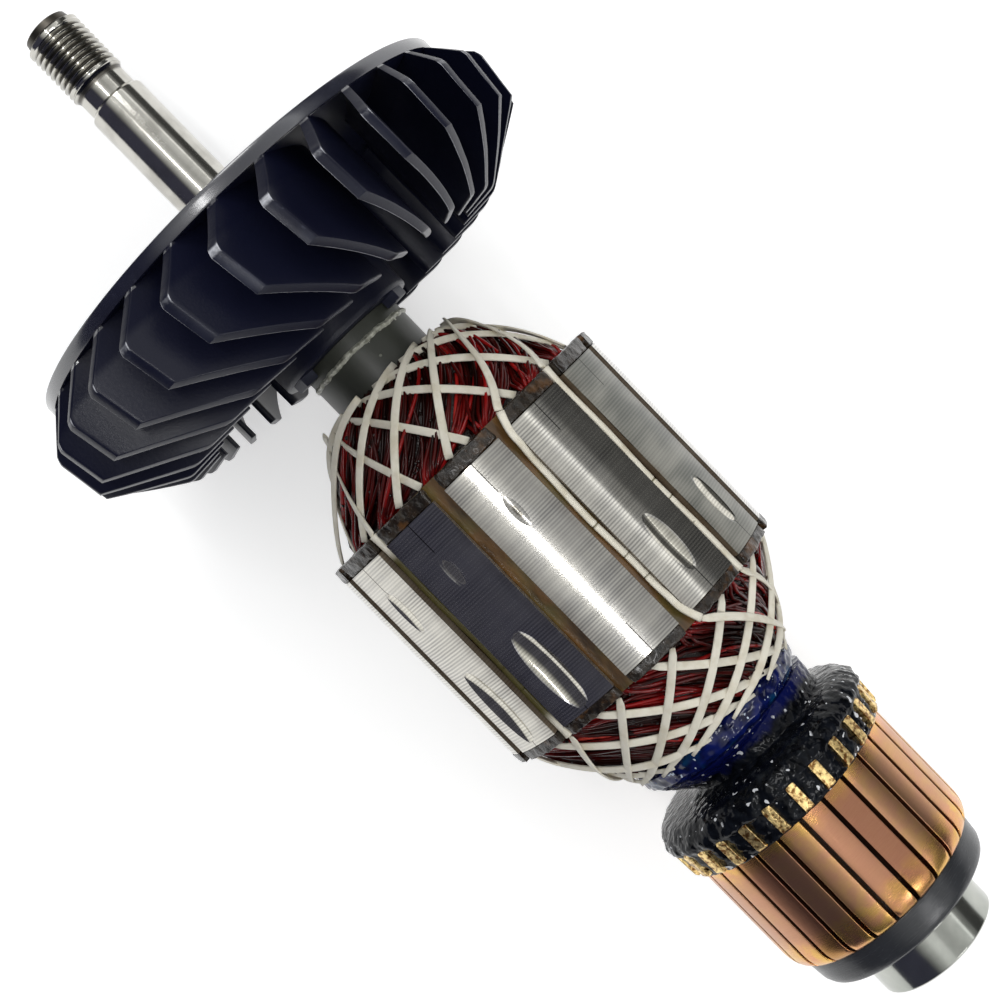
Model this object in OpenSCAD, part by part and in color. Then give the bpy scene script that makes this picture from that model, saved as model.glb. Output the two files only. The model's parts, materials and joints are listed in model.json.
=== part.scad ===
// Wound rotor (armature) of a large angle grinder: threaded shaft, centrifugal fan, slotted
// lamination stack with laced winding heads, hooked commutator and a shielded ball bearing.
// The shaft's axis is X, with +X towards the commutator. The origin is on that axis, at the
// shoulder of the drive-end bearing seat. Angles turn about +X from +Z, towards -Y.

/* [Shaft] */
// Diameter of the drive-end bearing seat, between the thread relief and the fan
seat_d = 10; // [9.9:0.05:11]
// Length of that seat
seat_len = 27.2; // [18:0.1:45]
// Diameter of the middle, which carries the fan, the stack and the commutator
core_d = 12; // [11.2:0.1:13]
// Diameter of the journal in the commutator-end bearing
journal_d = 8; // [7.5:0.1:8.6]
// Major diameter of the thread for the pinion nut
thread_d = 9.75; // [9:0.05:9.85]
// Length of the thread
thread_len = 10.8; // [8:0.1:16]
// Diameter of the thread relief
relief_d = 8.7; // [8:0.1:8.9]
// Length of the thread relief
relief_len = 4.1; // [2:0.1:6]
// Length of the plain lead at the tip
tip_len = 1.3; // [0.6:0.1:2.5]
// Diameter at the very tip
tip_d = 7.8; // [6:0.1:8.4]

/* [Fan] */
// Number of blades
fan_blades = 30; // [24:1:34]
// Outer diameter over the blade tips
fan_d = 91; // [88:0.5:100]
// Diameter of the back disc
disc_d = 81.6; // [78:0.2:84]
// Thickness of the back disc
disc_t = 2.2; // [1.6:0.1:3]
// Width from the disc's back to the blades' free ends
fan_w = 23.2; // [21:0.1:26]
// Thickness of a blade
blade_t = 1.3; // [0.9:0.05:1.6]
// Angle between a blade and the radius it crosses
blade_sweep = 41; // [30:1:45]
// Diameter inside the blades, the eye of the fan
eye_d = 54; // [52:0.5:58]
// Diameter over the blades at the inner end of their slanted edges, on the open side
mouth_d = 66.4; // [60:0.2:74]
// Clear length of sleeve between the fan's hub and the winding head
fan_gap = 9; // [6:0.1:16]
// Diameter of the hub at its open end
hub_d = 25.2; // [22:0.2:28]
// Diameter of the hub where it flares into the disc
hub_root_d = 49; // [40:0.5:51]
// Number of driving lugs on the hub's end
hub_lugs = 3; // [2:1:4]

/* [Lamination stack] */
// Outer diameter of the stack
stack_d = 54.5; // [54:0.1:56]
// Length of the stack
stack_len = 37; // [28:0.5:50]
// Number of slots and teeth
slots = 13; // [13]
// Width of a slot's mouth
slot_open = 2.4; // [1.8:0.1:2.8]
// Thickness of the tooth tips beside the mouth
tooth_tip_t = 1.25; // [1:0.05:1.6]
// Width of a tooth's parallel body
tooth_w = 4.4; // [4:0.1:5]
// Depth of a slot below the outer diameter
slot_depth = 11; // [9:0.1:12]
// Thickness of the insulating end plate at the fan's side
plate_t_drive = 2.5; // [1.5:0.1:3.5]
// Thickness of the insulating end plate at the commutator's side
plate_t_comm = 1.8; // [1.2:0.1:3]
// Radius of the grinding wheel that took off the balancing hollows
wheel_r = 30; // [20:1:60]
// Radius of that wheel's rounded rim
wheel_rim_r = 3.5; // [2:0.1:5]

/* [Insulation] */
// Outer diameter of the insulating sleeves on the shaft
sleeve_d = 18.6; // [17:0.1:20]
// Length of the spacer between the fan and the sleeve
spacer_len = 2.7; // [2:0.1:4]
// Thickness of the paper liner in each slot
liner_t = 0.3; // [0.2:0.05:0.4]
// Thickness of the strip that closes each slot
wedge_t = 0.6; // [0.4:0.05:0.9]

/* [Winding heads] */
// Length of the winding head at the fan's side
head_len_drive = 15.8; // [12:0.1:17]
// Diameter of that head where it leaves the end plate
head_d_drive = 46; // [42:0.5:48]
// Length of the winding head at the commutator's side
head_len_comm = 14.9; // [12:0.1:16]
// Diameter of that head where it leaves the end plate
head_d_comm = 49.8; // [44:0.5:50]
// Diameter of that head where the binding grips its lead wires
head_end_d_comm = 30.8; // [28:0.2:32]
// Depth of the furrows between neighbouring wire bundles
furrow = 1.3; // [0.4:0.1:1.6]
// Lean of the bundles round the shaft, in degrees for each millimetre along it
bundle_lean = 3.7; // [1:0.1:4.5]

/* [Neck] */
// Length of the blue binding round the lead wires
band_len = 4.4; // [3:0.1:6]
// Distance from the waist of the resin to the bars' riser ends
waist_len = 2.4; // [1.6:0.1:4]

/* [Lacing] */
// Width of the flat lacing cord
cord_w = 1.3; // [0.9:0.05:1.5]
// Thickness of the lacing cord
cord_t = 0.4; // [0.2:0.05:0.5]
// Radius at which the drive-end lacing would run straight round the shaft
turn_r_drive = 10.6; // [8:0.1:10.8]
// Radius at which the commutator-end lacing would run straight round the shaft
turn_r_comm = 15.2; // [12:0.1:15.6]

/* [Commutator] */
// Number of copper bars
bars = 26; // [26]
// Diameter of the brush track
track_d = 37.6; // [36:0.1:39]
// Length of a bar from its riser end to its front edge
bar_len = 29.1; // [26:0.1:34]
// Width of the slot between neighbouring bars
bar_gap = 0.7; // [0.4:0.05:1]
// Radial thickness of a bar
bar_t = 5.4; // [4.5:0.1:6]
// Axial length of the rounded front edge of the bars
bar_round_len = 3.3; // [2:0.1:5]
// Radial height of that rounded edge
bar_round_h = 1.6; // [0.8:0.1:2.4]
// Width of the hook on each bar
hook_w = 1.7; // [1.2:0.1:2.2]
// Thickness of the hook strip
hook_t = 0.8; // [0.6:0.05:1]
// Turn of the commutator against the stack
comm_turn = -1; // [-6:0.5:6]
// Length of the moulded ring in front of the bars
ring_len = 5.6; // [4:0.1:8]
// Distance from the stack's end plate to the bars' riser ends
comm_offset = 25.7; // [24:0.1:32]

/* [Bearing] */
// Outer diameter of the bearing
bearing_d = 22; // [21.9:0.1:24]
// Width of the bearing
bearing_w = 7; // [6.5:0.1:8]
// Number of balls
balls = 7; // [6:1:7]
// Diameter of a ball
ball_d = 3.97; // [3.6:0.01:4]
// Running clearance between a ball and each race
ball_clearance = 0.02; // [0.015:0.005:0.03]
// Thickness of each shield
shield_t = 0.3; // [0.2:0.05:0.4]
// Length of the shaft's shoulder between the commutator and the bearing
shoulder_len = 0.8; // [0.5:0.1:2]

/* [Hidden] */
$fn = 72;
tiny = 0.01; // overlap of cutting bodies past the faces they open

// Stations along the shaft, from the shoulder of the bearing seat
fan_x = 0;
relief_x = fan_x - seat_len;
thread_x = relief_x - relief_len;
tip_x = thread_x - thread_len - tip_len;
blade_x = fan_x + fan_w;
hub_x = blade_x + 0.8; // the blades end just short of the hub
spacer_x1 = hub_x + spacer_len;
head_x_drive = hub_x + fan_gap + head_len_drive;
stack_x0 = head_x_drive + plate_t_drive;
stack_x1 = stack_x0 + stack_len;
head_x_comm = stack_x1 + plate_t_comm;
band_x = head_x_comm + head_len_comm;
bar_x = head_x_comm + comm_offset;
ring_x = bar_x + bar_len;
ring_x1 = ring_x + ring_len;
bearing_x = ring_x1 + shoulder_len;

// Radii that several pieces share
core_r = core_d / 2;
sleeve_r = sleeve_d / 2;
stack_r = stack_d / 2;
track_r = track_d / 2;
bar_root_r = track_r - bar_t;
pitch = 360 / slots;
bar_pitch = 360 / bars;

function bar_name(i) = str("commutator_bar_", i < 10 ? "0" : "", i);

// ---------------------------------------------------------------- placing helpers

// Turns a pattern drawn in XY, with its first direction at angle 0, onto the shaft's axis
module on_axis(x = 0) {
    translate([x, 0, 0])
        rotate([0, 90, 0])
            rotate([0, 0, 180])
                children();
}

// Revolves an outline of [x, radius] points about the shaft
module revolve(outline) {
    on_axis()
        rotate_extrude()
            polygon([for (p = outline) [p[1], p[0]]]);
}

// A plain collar about the shaft, from x0 to x1
module collar(x0, x1, r_out, r_in) {
    revolve([[x0, r_in], [x0, r_out], [x1, r_out], [x1, r_in]]);
}

// Point at station x, radius r and angle a
function polar(x, r, a) = [x, -r * sin(a), r * cos(a)];

function unit(v) = v / norm(v);

// ---------------------------------------------------------------- shaft and sleeves

module shaft() {
    lead = 0.5; // chamfer at each shoulder and end
    color("silver")
        revolve([
            [tip_x, 0],
            [tip_x, tip_d / 2],
            [tip_x + tip_len, (tip_d + relief_d) / 4],
            [tip_x + tip_len + lead, thread_d / 2],
            [thread_x - lead, thread_d / 2],
            [thread_x, relief_d / 2],
            [relief_x - lead, relief_d / 2],
            [relief_x, seat_d / 2],
            [fan_x, seat_d / 2],
            [fan_x, core_r],
            [bearing_x, core_r],
            [bearing_x, journal_d / 2],
            [bearing_x + bearing_w - lead, journal_d / 2],
            [bearing_x + bearing_w - lead, 0],
        ]);
}

module shaft_sleeve_drive() {
    color([0.27, 0.28, 0.24])
        collar(spacer_x1, stack_x0, sleeve_r, core_r);
}

module shaft_sleeve_commutator() {
    color([0.27, 0.28, 0.24])
        collar(stack_x1, bar_x, sleeve_r, core_r);
}

module fan_spacer() {
    color([0.30, 0.31, 0.27])
        collar(hub_x, spacer_x1, sleeve_r, core_r);
}

// Bead of hard varnish over the joint between the spacer and the sleeve
module varnish_bead() {
    bead_w = 1.2;
    bead_h = 0.7;
    color([0.72, 0.72, 0.66])
        revolve([
            [spacer_x1 - bead_w / 2, sleeve_r],
            [spacer_x1 - bead_w / 4, sleeve_r + bead_h],
            [spacer_x1 + bead_w / 4, sleeve_r + bead_h],
            [spacer_x1 + bead_w / 2, sleeve_r],
        ]);
}

// ---------------------------------------------------------------- fan

// Angle by which a blade has turned back when it reaches radius r, a logarithmic spiral
function blade_turn(r) = -tan(blade_sweep) * ln(fan_d / 2 / r) * 180 / PI;

// Plan of one blade in polar steps: one side outwards, the rounded eye end, the other side back
module blade_plan() {
    steps = 7;
    r0 = eye_d / 2;
    r1 = fan_d / 2 + 1;
    half = blade_t / 2;
    rs = [for (i = [0:steps]) r0 + (r1 - r0) * i / steps];
    // across() shifts a point of the spiral sideways, at right angles to the blade
    polygon(concat(
        [for (r = rs) across(r, half)],
        [for (i = [steps:-1:0]) across(rs[i], -half)]
    ));
    translate(across(r0, 0))
        circle(r = half, $fn = 12);
}

function across(r, side) =
    let (a = blade_turn(r), n = a + 90 + blade_sweep)
    [r * cos(a) + side * cos(n), r * sin(a) + side * sin(n)];

// Outline that the free edges of the blades sweep, as [x, radius]
module blade_envelope() {
    lead_w = 5; // length of the slanted edge beside the disc
    draft = 1.0; // fall of the outer edge towards the open side
    rake_w = 7.6; // length of the slanted edge on the open side
    mouth_r = mouth_d / 2;
    revolve([
        [fan_x + disc_t / 2, 0],
        [fan_x + disc_t / 2, disc_d / 2 - 0.5],
        [fan_x + disc_t, disc_d / 2],
        [fan_x + disc_t + lead_w, fan_d / 2 - 0.3],
        [fan_x + disc_t + lead_w + 1, fan_d / 2],
        [blade_x - rake_w, fan_d / 2 - draft],
        [blade_x - 0.2, mouth_r],
        [blade_x, mouth_r - 0.8],
        [blade_x, 0],
    ]);
}

module fan_blades() {
    intersection() {
        on_axis(fan_x + disc_t / 2)
            linear_extrude(fan_w)
                for (i = [0:fan_blades - 1])
                    rotate([0, 0, (i + 0.5) * 360 / fan_blades])
                        blade_plan();
        blade_envelope();
    }
}

// Back disc and hub, whose bell shape turns the air from the eye to the blades
module fan_body() {
    bell_steps = 8;
    bell_x0 = fan_x + disc_t;
    edge = 0.4; // chamfer round the rim
    revolve(concat(
        [
            [fan_x, core_r],
            [fan_x, disc_d / 2 - edge],
            [fan_x + edge, disc_d / 2],
            [bell_x0 - edge, disc_d / 2],
            [bell_x0, disc_d / 2 - edge],
        ],
        [for (i = [0:bell_steps])
            let (a = 90 * i / bell_steps)
            [
                bell_x0 + (hub_x - 1 - bell_x0) * (1 - cos(a)),
                hub_d / 2 + (hub_root_d - hub_d) / 2 * (1 - sin(a))
            ]],
        [
            [hub_x - 0.3, hub_d / 2],
            [hub_x, hub_d / 2 - 0.3],
            [hub_x, core_r],
        ]
    ));
}

module hub_lug() {
    lug_w = 3;
    lug_h = 1.5;
    translate([hub_x - 1, -lug_w / 2, sleeve_r + 0.15])
        cube([1 + lug_h, lug_w, (hub_d / 2 - sleeve_r) - 0.5]);
}

module fan() {
    first_lug = -62;
    color([0.09, 0.09, 0.13])
        union() {
            fan_body();
            fan_blades();
            for (i = [0:hub_lugs - 1])
                rotate([first_lug + i * 360 / hub_lugs, 0, 0])
                    hub_lug();
        }
}

// ---------------------------------------------------------------- lamination stack

// Radii that shape a slot: below the tooth tips, below its sloping shoulders, and at its root
slot_top_r = stack_r - tooth_tip_t;
slot_shoulder_r = slot_top_r - 0.8;
slot_root_r = (stack_r - slot_depth + tooth_w / 2) / (1 - sin(pitch / 2));

// Half the width of a slot at radius r, between two parallel teeth
function slot_half(r) = r * sin(pitch / 2) - tooth_w / 2;

slot_round_r = slot_half(slot_root_r);

// Cross-section of one slot below the tooth tips, shrunk by inset all round
module slot_section(inset = 0) {
    top = slot_half(slot_shoulder_r) - inset;
    root = slot_round_r - inset;
    polygon([
        [slot_root_r, -root],
        [slot_shoulder_r, -top],
        [slot_top_r, -slot_open / 2],
        [slot_top_r, slot_open / 2],
        [slot_shoulder_r, top],
        [slot_root_r, root],
    ]);
    intersection() {
        translate([slot_root_r, 0])
            circle(r = root, $fn = 24);
        translate([0, -stack_r])
            square([slot_root_r + tiny, 2 * stack_r]);
    }
}

// The part of a slot section that lies inside radius r
module slot_below(r, inset) {
    intersection() {
        slot_section(inset);
        translate([0, -stack_r])
            square([r, 2 * stack_r]);
    }
}

module at_slots() {
    for (i = [0:slots - 1])
        rotate([0, 0, (i + 0.5) * pitch])
            children();
}

module lamination(bore_r) {
    difference() {
        circle(r = stack_r);
        circle(r = bore_r);
        at_slots()
            union() {
                slot_section();
                translate([slot_top_r - tiny, -slot_open / 2])
                    square([tooth_tip_t + 1, slot_open]);
            }
    }
}

// Balancing hollows as [tooth, end, inset, depth], each ground into a tooth's crown. The end is
// -1 at the fan and 1 at the commutator, and the inset is measured from that end of the stack.
balance_cuts = [
    [0, -1, 9.3, 0.13],
    [1, -1, 9.4, 0.19],
    [2, -1, 9.1, 0.34],
    [1, 1, 7.9, 0.99],
    [2, 1, 8.0, 0.96],
    [-1, 1, 9.1, 0.5],
    [-2, 1, 7.9, 0.43],
];

module grinding_wheel(depth) {
    translate([0, 0, stack_r + wheel_r - depth])
        rotate([90, 0, 0])
            rotate_extrude()
                translate([wheel_r - wheel_rim_r, 0])
                    circle(r = wheel_rim_r, $fn = 32);
}

module lamination_stack() {
    color([0.60, 0.60, 0.58])
        difference() {
            on_axis(stack_x0)
                linear_extrude(stack_len)
                    lamination(core_r);
            for (cut = balance_cuts)
                rotate([cut[0] * pitch, 0, 0])
                    translate([(cut[1] < 0 ? stack_x0 : stack_x1) - cut[1] * cut[2], 0, 0])
                        grinding_wheel(cut[3]);
        }
}

module end_plate(x, thickness) {
    color([0.20, 0.16, 0.12])
        on_axis(x)
            linear_extrude(thickness)
                lamination(sleeve_r);
}

module end_plate_drive() {
    end_plate(head_x_drive, plate_t_drive);
}

module end_plate_commutator() {
    end_plate(stack_x1, plate_t_comm);
}

// ---------------------------------------------------------------- slot contents

// Extrudes a slot pattern from one winding head to the other
module through_slots() {
    on_axis(head_x_drive)
        linear_extrude(head_x_comm - head_x_drive)
            at_slots()
                children();
}

module slot_liners() {
    color([0.36, 0.26, 0.13])
        through_slots()
            difference() {
                slot_below(slot_shoulder_r, 0);
                slot_below(slot_shoulder_r + tiny, liner_t);
            }
}

module slot_windings() {
    color([0.36, 0.07, 0.05])
        through_slots()
            slot_below(slot_shoulder_r - wedge_t, liner_t);
}

module slot_wedges() {
    color([0.42, 0.31, 0.17])
        through_slots()
            difference() {
                slot_below(slot_shoulder_r, liner_t);
                slot_below(slot_shoulder_r - wedge_t, liner_t - tiny);
            }
}

// ---------------------------------------------------------------- winding heads

// A head's crest runs from radius r0 at its plate to r1 at its far end. The exponent bulge
// sets how domed it is: 1 is a cone, and less is rounder.
head_end_r_drive = sleeve_r + 0.3;
bulge_drive = 0.565;
bulge_comm = 0.9;

// Distance from the plate at which the crest has come down to radius r
function crest_x(r, len, r0, r1, bulge) = len * (1 - pow(max(0, (r - r1) / (r0 - r1)), 1 / bulge));

// One winding head, standing on the plane x = 0 and growing towards +X: a dome of as many
// wire bundles as there are slots, which lean round the shaft as they leave the stack
module winding_head(len, r0, r1, bulge) {
    rows = 8;
    per_bundle = 4;
    columns = slots * per_bundle;
    points = [for (i = [0:rows], j = [0:columns - 1])
        let (
            r = r0 + (r1 - r0) * i / rows,
            x = crest_x(r, len, r0, r1, bulge),
            fade = sin(180 * min(1, 0.2 + i / rows)),
            dip = furrow * fade * (1 - cos(360 * j / per_bundle)) / 2,
            a = pitch / 2 + 360 * j / columns - bundle_lean * x
        )
        polar(x, r - dip, a)];
    sides = [for (i = [0:rows - 1], j = [0:columns - 1])
        let (
            a = i * columns + j,
            b = i * columns + (j + 1) % columns,
            c = b + columns,
            d = a + columns
        )
        each [[a, d, b], [b, d, c]]];
    near_end = [for (j = [0:columns - 1]) j];
    far_end = [for (j = [columns - 1:-1:0]) rows * columns + j];
    difference() {
        polyhedron(points, concat(sides, [near_end, far_end]));
        collar(-1, len + 1, sleeve_r, 0);
    }
}

module winding_head_drive() {
    color([0.33, 0.07, 0.05])
        translate([head_x_drive, 0, 0])
            mirror([1, 0, 0])
                winding_head(head_len_drive, head_d_drive / 2, head_end_r_drive, bulge_drive);
}

module winding_head_commutator() {
    color([0.33, 0.07, 0.05])
        translate([head_x_comm, 0, 0])
            winding_head(head_len_comm, head_d_comm / 2, head_end_d_comm / 2, bulge_comm);
}

// ---------------------------------------------------------------- lacing

// Angles at which the strands leave the end plates. One family turns forwards as it leaves
// the stack, the other turns back. They are pulled by hand, so they aren't quite even.
forward_strands = [-54, -30, -5, 19, 43, 72, 101, 131, 160, 189, 218, 248, 277];
backward_strands = [-48, -22, 4, 30, 55, 89, 117, 144, 172, 200, 227, 255, 283];

// Slots along which the cord runs from one head to the other, as [slot, family, strand],
// where family 1 is forward and -1 is backward
slot_runs = [[-1, -1, 0], [0, -1, 1], [2, 1, 4], [4, -1, 5], [6, -1, 7], [8, -1, 9], [9, -1, 10]];

// The cord lies on the strip that closes the slot
run_r = slot_shoulder_r + 0.1 + cord_t;
lift_under = 0.12;
lift_over = lift_under + cord_t + 0.1;

function slot_angle(j) = (j - 0.5) * pitch;

// Extra angle at the plate of a strand that comes out of a slot, and 0 for the others
function run_shift(family, k, base) =
    let (hit = [for (run = slot_runs) if (run[1] == family && run[2] == k) slot_angle(run[0]) - base])
    len(hit) > 0 ? hit[0] : 0;

// A pulled cord lies along a geodesic: radius times the sine of its slant stays at turn_r.
// Angle that it gains while its radius falls from ra to rb
function geodesic_step(ra, rb, turn_r, h) =
    let (
        rm = (ra + rb) / 2,
        dx = crest_x(rb, h[0], h[1], h[2], h[3]) - crest_x(ra, h[0], h[1], h[2], h[3]),
        ds = norm([dx, rb - ra])
    )
    ds * turn_r / (rm * sqrt(rm * rm - turn_r * turn_r)) * 180 / PI;

// Strand as a list of [x, radius, angle, slope], where h = [length, r0, r1, bulge] is the head
function strand_path(h, turn_r, base, sense, shift, lift) =
    let (
        steps = 9,
        r_stop = max(turn_r, h[2]) + 0.7,
        rs = [for (i = [0:steps]) h[1] + (r_stop - h[1]) * i / steps],
        xs = [for (r = rs) crest_x(r, h[0], h[1], h[2], h[3])],
        gains = [for (i = 0, a = 0;
                i <= steps;
                a = a + (i < steps ? geodesic_step(rs[i], rs[i + 1], turn_r, h) : 0), i = i + 1) a]
    )
    [for (i = [0:steps])
        let (
            near = i == 0 ? 1 : 0,
            raised = shift == 0 ? 0 : near * (run_r - h[1] - lift),
            k = min(i, steps - 1)
        )
        [
            xs[i] + (i == 0 ? 0.3 : 0),
            rs[i] + raised,
            base + sense * gains[i] + shift * near,
            atan2(rs[k] - rs[k + 1], xs[k + 1] - xs[k])
        ]];

// Flat cord swept along a path of [x, radius, angle, slope]. It lies lift above the crest.
module flat_cord(path, lift) {
    last = len(path) - 1;
    centre = [for (p = path)
        polar(p[0] + lift * sin(p[3]), p[1] + lift * cos(p[3]), p[2])];
    points = [for (i = [0:last])
        let (
            p = path[i],
            along = unit(centre[min(i + 1, last)] - centre[max(i - 1, 0)]),
            up = polar(sin(p[3]), cos(p[3]), p[2]),
            side = unit(cross(up, along)) * cord_w / 2,
            top = up * cord_t
        )
        each [centre[i] - side, centre[i] + side, centre[i] + side + top, centre[i] - side + top]];
    walls = [for (i = [0:last - 1], j = [0:3])
        let (a = 4 * i + j, b = 4 * i + (j + 1) % 4)
        each [[a, b, a + 4], [b, b + 4, a + 4]]];
    polyhedron(points, concat(walls, [[3, 2, 1, 0], [for (j = [0:3]) 4 * last + j]]));
}

// All strands of one family on one head
module strand_family(h, turn_r, sense, lift) {
    bases = sense > 0 ? forward_strands : backward_strands;
    for (k = [0:len(bases) - 1])
        flat_cord(strand_path(h, turn_r, bases[k], sense, run_shift(sense, k, bases[k]), lift), lift);
}

head_drive = [head_len_drive, head_d_drive / 2, head_end_r_drive, bulge_drive];
head_comm = [head_len_comm, head_d_comm / 2, head_end_d_comm / 2, bulge_comm];

module drive_lacing(sense, lift) {
    color([0.88, 0.84, 0.76])
        translate([head_x_drive, 0, 0])
            mirror([1, 0, 0])
                strand_family(head_drive, turn_r_drive, sense, lift);
}

module comm_lacing(sense, lift) {
    color([0.86, 0.84, 0.74])
        translate([head_x_comm, 0, 0])
            strand_family(head_comm, turn_r_comm, sense, lift);
}

module lacing_drive_under() {
    drive_lacing(1, lift_under);
}

module lacing_drive_over() {
    drive_lacing(-1, lift_over);
}

module lacing_commutator_under() {
    comm_lacing(-1, lift_under);
}

module lacing_commutator_over() {
    comm_lacing(1, lift_over);
}

// Straight stretches of cord in the slot mouths, between the outer faces of the end plates
module lacing_slot_runs() {
    run_h = 1.1;
    color([0.88, 0.85, 0.76])
        for (run = slot_runs)
            rotate([slot_angle(run[0]), 0, 0])
                translate([head_x_drive, -cord_w / 2, slot_shoulder_r + 0.05])
                    cube([head_x_comm - head_x_drive, cord_w, run_h]);
}

// ---------------------------------------------------------------- lead wires and resin

// Blue binding round the lead wires, where they leave the winding head
module neck_band() {
    r = head_end_d_comm / 2;
    color([0.03, 0.07, 0.30])
        revolve([
            [band_x, sleeve_r],
            [band_x, r + 0.1],
            [band_x + 0.25 * band_len, r + 0.5],
            [band_x + 0.7 * band_len, r + 0.2],
            [band_x + band_len, r - 1],
            [band_x + band_len, sleeve_r],
        ]);
}

// Black resin over the lead wires and the hooks. The leads lie thicker on one side of the
// neck, so the waist of the resin is eccentric.
module riser_resin() {
    x0 = band_x + band_len;
    waist_x = bar_x - waist_len;
    waist_r = sleeve_r + 1.1;
    bulk_r = 13;
    bulk_shift = 2.6;
    // Swell up to the hooks and between them, as [distance past the waist, height over the track]
    swell = [[0.7, -0.9], [2, 0.9], [3.3, 1.7], [4.2, 1.7], [5.2, 1.2], [7.6, 0.9], [8.8, 0.7], [9.8, 0.3]];
    swell_end = swell[len(swell) - 1][0];
    color([0.05, 0.05, 0.06])
        difference() {
            union() {
                revolve(concat(
                    [
                        [x0, sleeve_r],
                        [x0, head_end_d_comm / 2 - 1],
                        [waist_x - 0.5, waist_r],
                        [waist_x, waist_r],
                    ],
                    [for (p = swell) [waist_x + p[0], track_r + p[1]]],
                    [[waist_x + swell_end, sleeve_r]]
                ));
                on_axis(x0)
                    translate([0, -bulk_shift])
                        cylinder(r = bulk_r, h = waist_x + 0.5 - x0);
            }
            on_axis(x0 - 1)
                cylinder(r = sleeve_r, h = bar_x - x0 + 2);
            on_axis(bar_x)
                cylinder(r = track_r, h = bar_len);
            for (i = [1:bars])
                rotate([bar_angle(i), 0, 0])
                    hook_shape();
        }
}

// ---------------------------------------------------------------- commutator

nose_len = 2; // tongue of each bar that the moulding holds
nose_h = 2.1;
hook_x = bar_x + 2;

function bar_angle(i) = comm_turn + (i - 1) * bar_pitch;

// Bent strip that rises from the bar and folds back over its two wire ends
module hook_shape() {
    hook_len = 5;
    rise = 1.5;
    translate([hook_x, hook_w / 2, track_r - 0.2])
        rotate([90, 0, 0])
            linear_extrude(hook_w)
                polygon([
                    [hook_len - hook_t, 0],
                    [hook_len, 0],
                    [hook_len, rise - 0.3],
                    [hook_len - 0.5, rise],
                    [0.5, rise + 0.2],
                    [0, rise - 0.2],
                    [0, rise + 0.2 - hook_t],
                    [hook_len - hook_t, rise - hook_t],
                ]);
}

// Copper bar: a sector with a rounded front edge and a tongue under the moulded ring
module bar_shape(i) {
    gap_angle = 2 * asin(bar_gap / 2 / track_r);
    round_steps = 5;
    outline = concat(
        [[bar_x, bar_root_r], [bar_x, track_r]],
        [for (s = [0:round_steps])
            let (a = 90 * s / round_steps)
            [ring_x - bar_round_len * (1 - sin(a)), track_r - bar_round_h * (1 - cos(a))]],
        [
            [ring_x, bar_root_r + nose_h],
            [ring_x + nose_len, bar_root_r + nose_h],
            [ring_x + nose_len, bar_root_r],
        ]
    );
    rotate([bar_angle(i), 0, 0])
        union() {
            on_axis()
                rotate([0, 0, gap_angle / 2 - bar_pitch / 2])
                    rotate_extrude(angle = bar_pitch - gap_angle)
                        polygon([for (p = outline) [p[1], p[0]]]);
            hook_shape();
        }
}

module commutator_bar(i) {
    color([0.78, 0.48, 0.30])
        bar_shape(i);
}

// Moulded body: the barrel under the bars and the ring in front of them
module commutator_moulding() {
    ring_r = track_r - bar_round_h;
    color([0.13, 0.14, 0.15])
        difference() {
            revolve([
                [bar_x, core_r],
                [bar_x, bar_root_r],
                [ring_x, bar_root_r],
                [ring_x, ring_r],
                [ring_x1 - 1.6, ring_r - 0.4],
                [ring_x1 - 0.5, ring_r - 0.9],
                [ring_x1, ring_r - 1.8],
                [ring_x1, core_r],
            ]);
            collar(ring_x - tiny, ring_x + nose_len, bar_root_r + nose_h, bar_root_r);
        }
}

// ---------------------------------------------------------------- bearing

ball_circle_r = (bearing_d + journal_d) / 4;
ball_r = ball_d / 2;
groove_r = ball_r + ball_clearance;
race_gap = 1.45; // half the open width between the races
bearing_mid = bearing_x + bearing_w / 2;
shield_in = 0.35; // depth of each shield below the bearing's face

// One race between two radii, with a ball groove on the face that looks at the balls
module race(r_in, r_out) {
    edge = 0.4;
    difference() {
        revolve([
            [bearing_x, r_in + edge],
            [bearing_x, r_out - edge],
            [bearing_x + edge, r_out],
            [bearing_x + bearing_w - edge, r_out],
            [bearing_x + bearing_w, r_out - edge],
            [bearing_x + bearing_w, r_in + edge],
            [bearing_x + bearing_w - edge, r_in],
            [bearing_x + edge, r_in],
        ]);
        ball_groove();
    }
}

module ball_groove() {
    on_axis(bearing_mid)
        rotate_extrude()
            translate([ball_circle_r, 0])
                circle(r = groove_r, $fn = 48);
}

module bearing_inner_race() {
    color([0.62, 0.63, 0.63])
        race(journal_d / 2, ball_circle_r - race_gap);
}

// Each shield snaps into a step of the outer race
module bearing_outer_race() {
    color([0.62, 0.64, 0.63])
        difference() {
            race(ball_circle_r + race_gap, bearing_d / 2);
            shields(0, 1);
        }
}

// Both shields as discs with a hole, grown outwards past the faces by over
module shields(clear, over) {
    r_out = ball_circle_r + race_gap + 0.5;
    r_in = ball_circle_r - race_gap + 0.15;
    x0 = bearing_x + shield_in;
    x1 = bearing_x + bearing_w - shield_in;
    collar(x0 - over, x0 + shield_t, r_out - clear, r_in);
    collar(x1 - shield_t, x1 + over, r_out - clear, r_in);
}

module bearing_shields() {
    color([0.45, 0.46, 0.46])
        shields(0, 0);
}

module bearing_balls() {
    color([0.80, 0.80, 0.80])
        at_balls()
            sphere(r = ball_r, $fn = 32);
}

module at_balls() {
    for (i = [0:balls - 1])
        rotate([i * 360 / balls, 0, 0])
            translate([bearing_mid, 0, ball_circle_r])
                children();
}

module bearing_cage() {
    cage_w = 4.6;
    cage_half = 0.75;
    pocket = 0.05; // play of a ball in its pocket
    color([0.60, 0.60, 0.60])
        difference() {
            collar(bearing_mid - cage_w / 2, bearing_mid + cage_w / 2,
                ball_circle_r + cage_half, ball_circle_r - cage_half);
            at_balls()
                sphere(r = ball_r + pocket, $fn = 32);
        }
}

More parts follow.
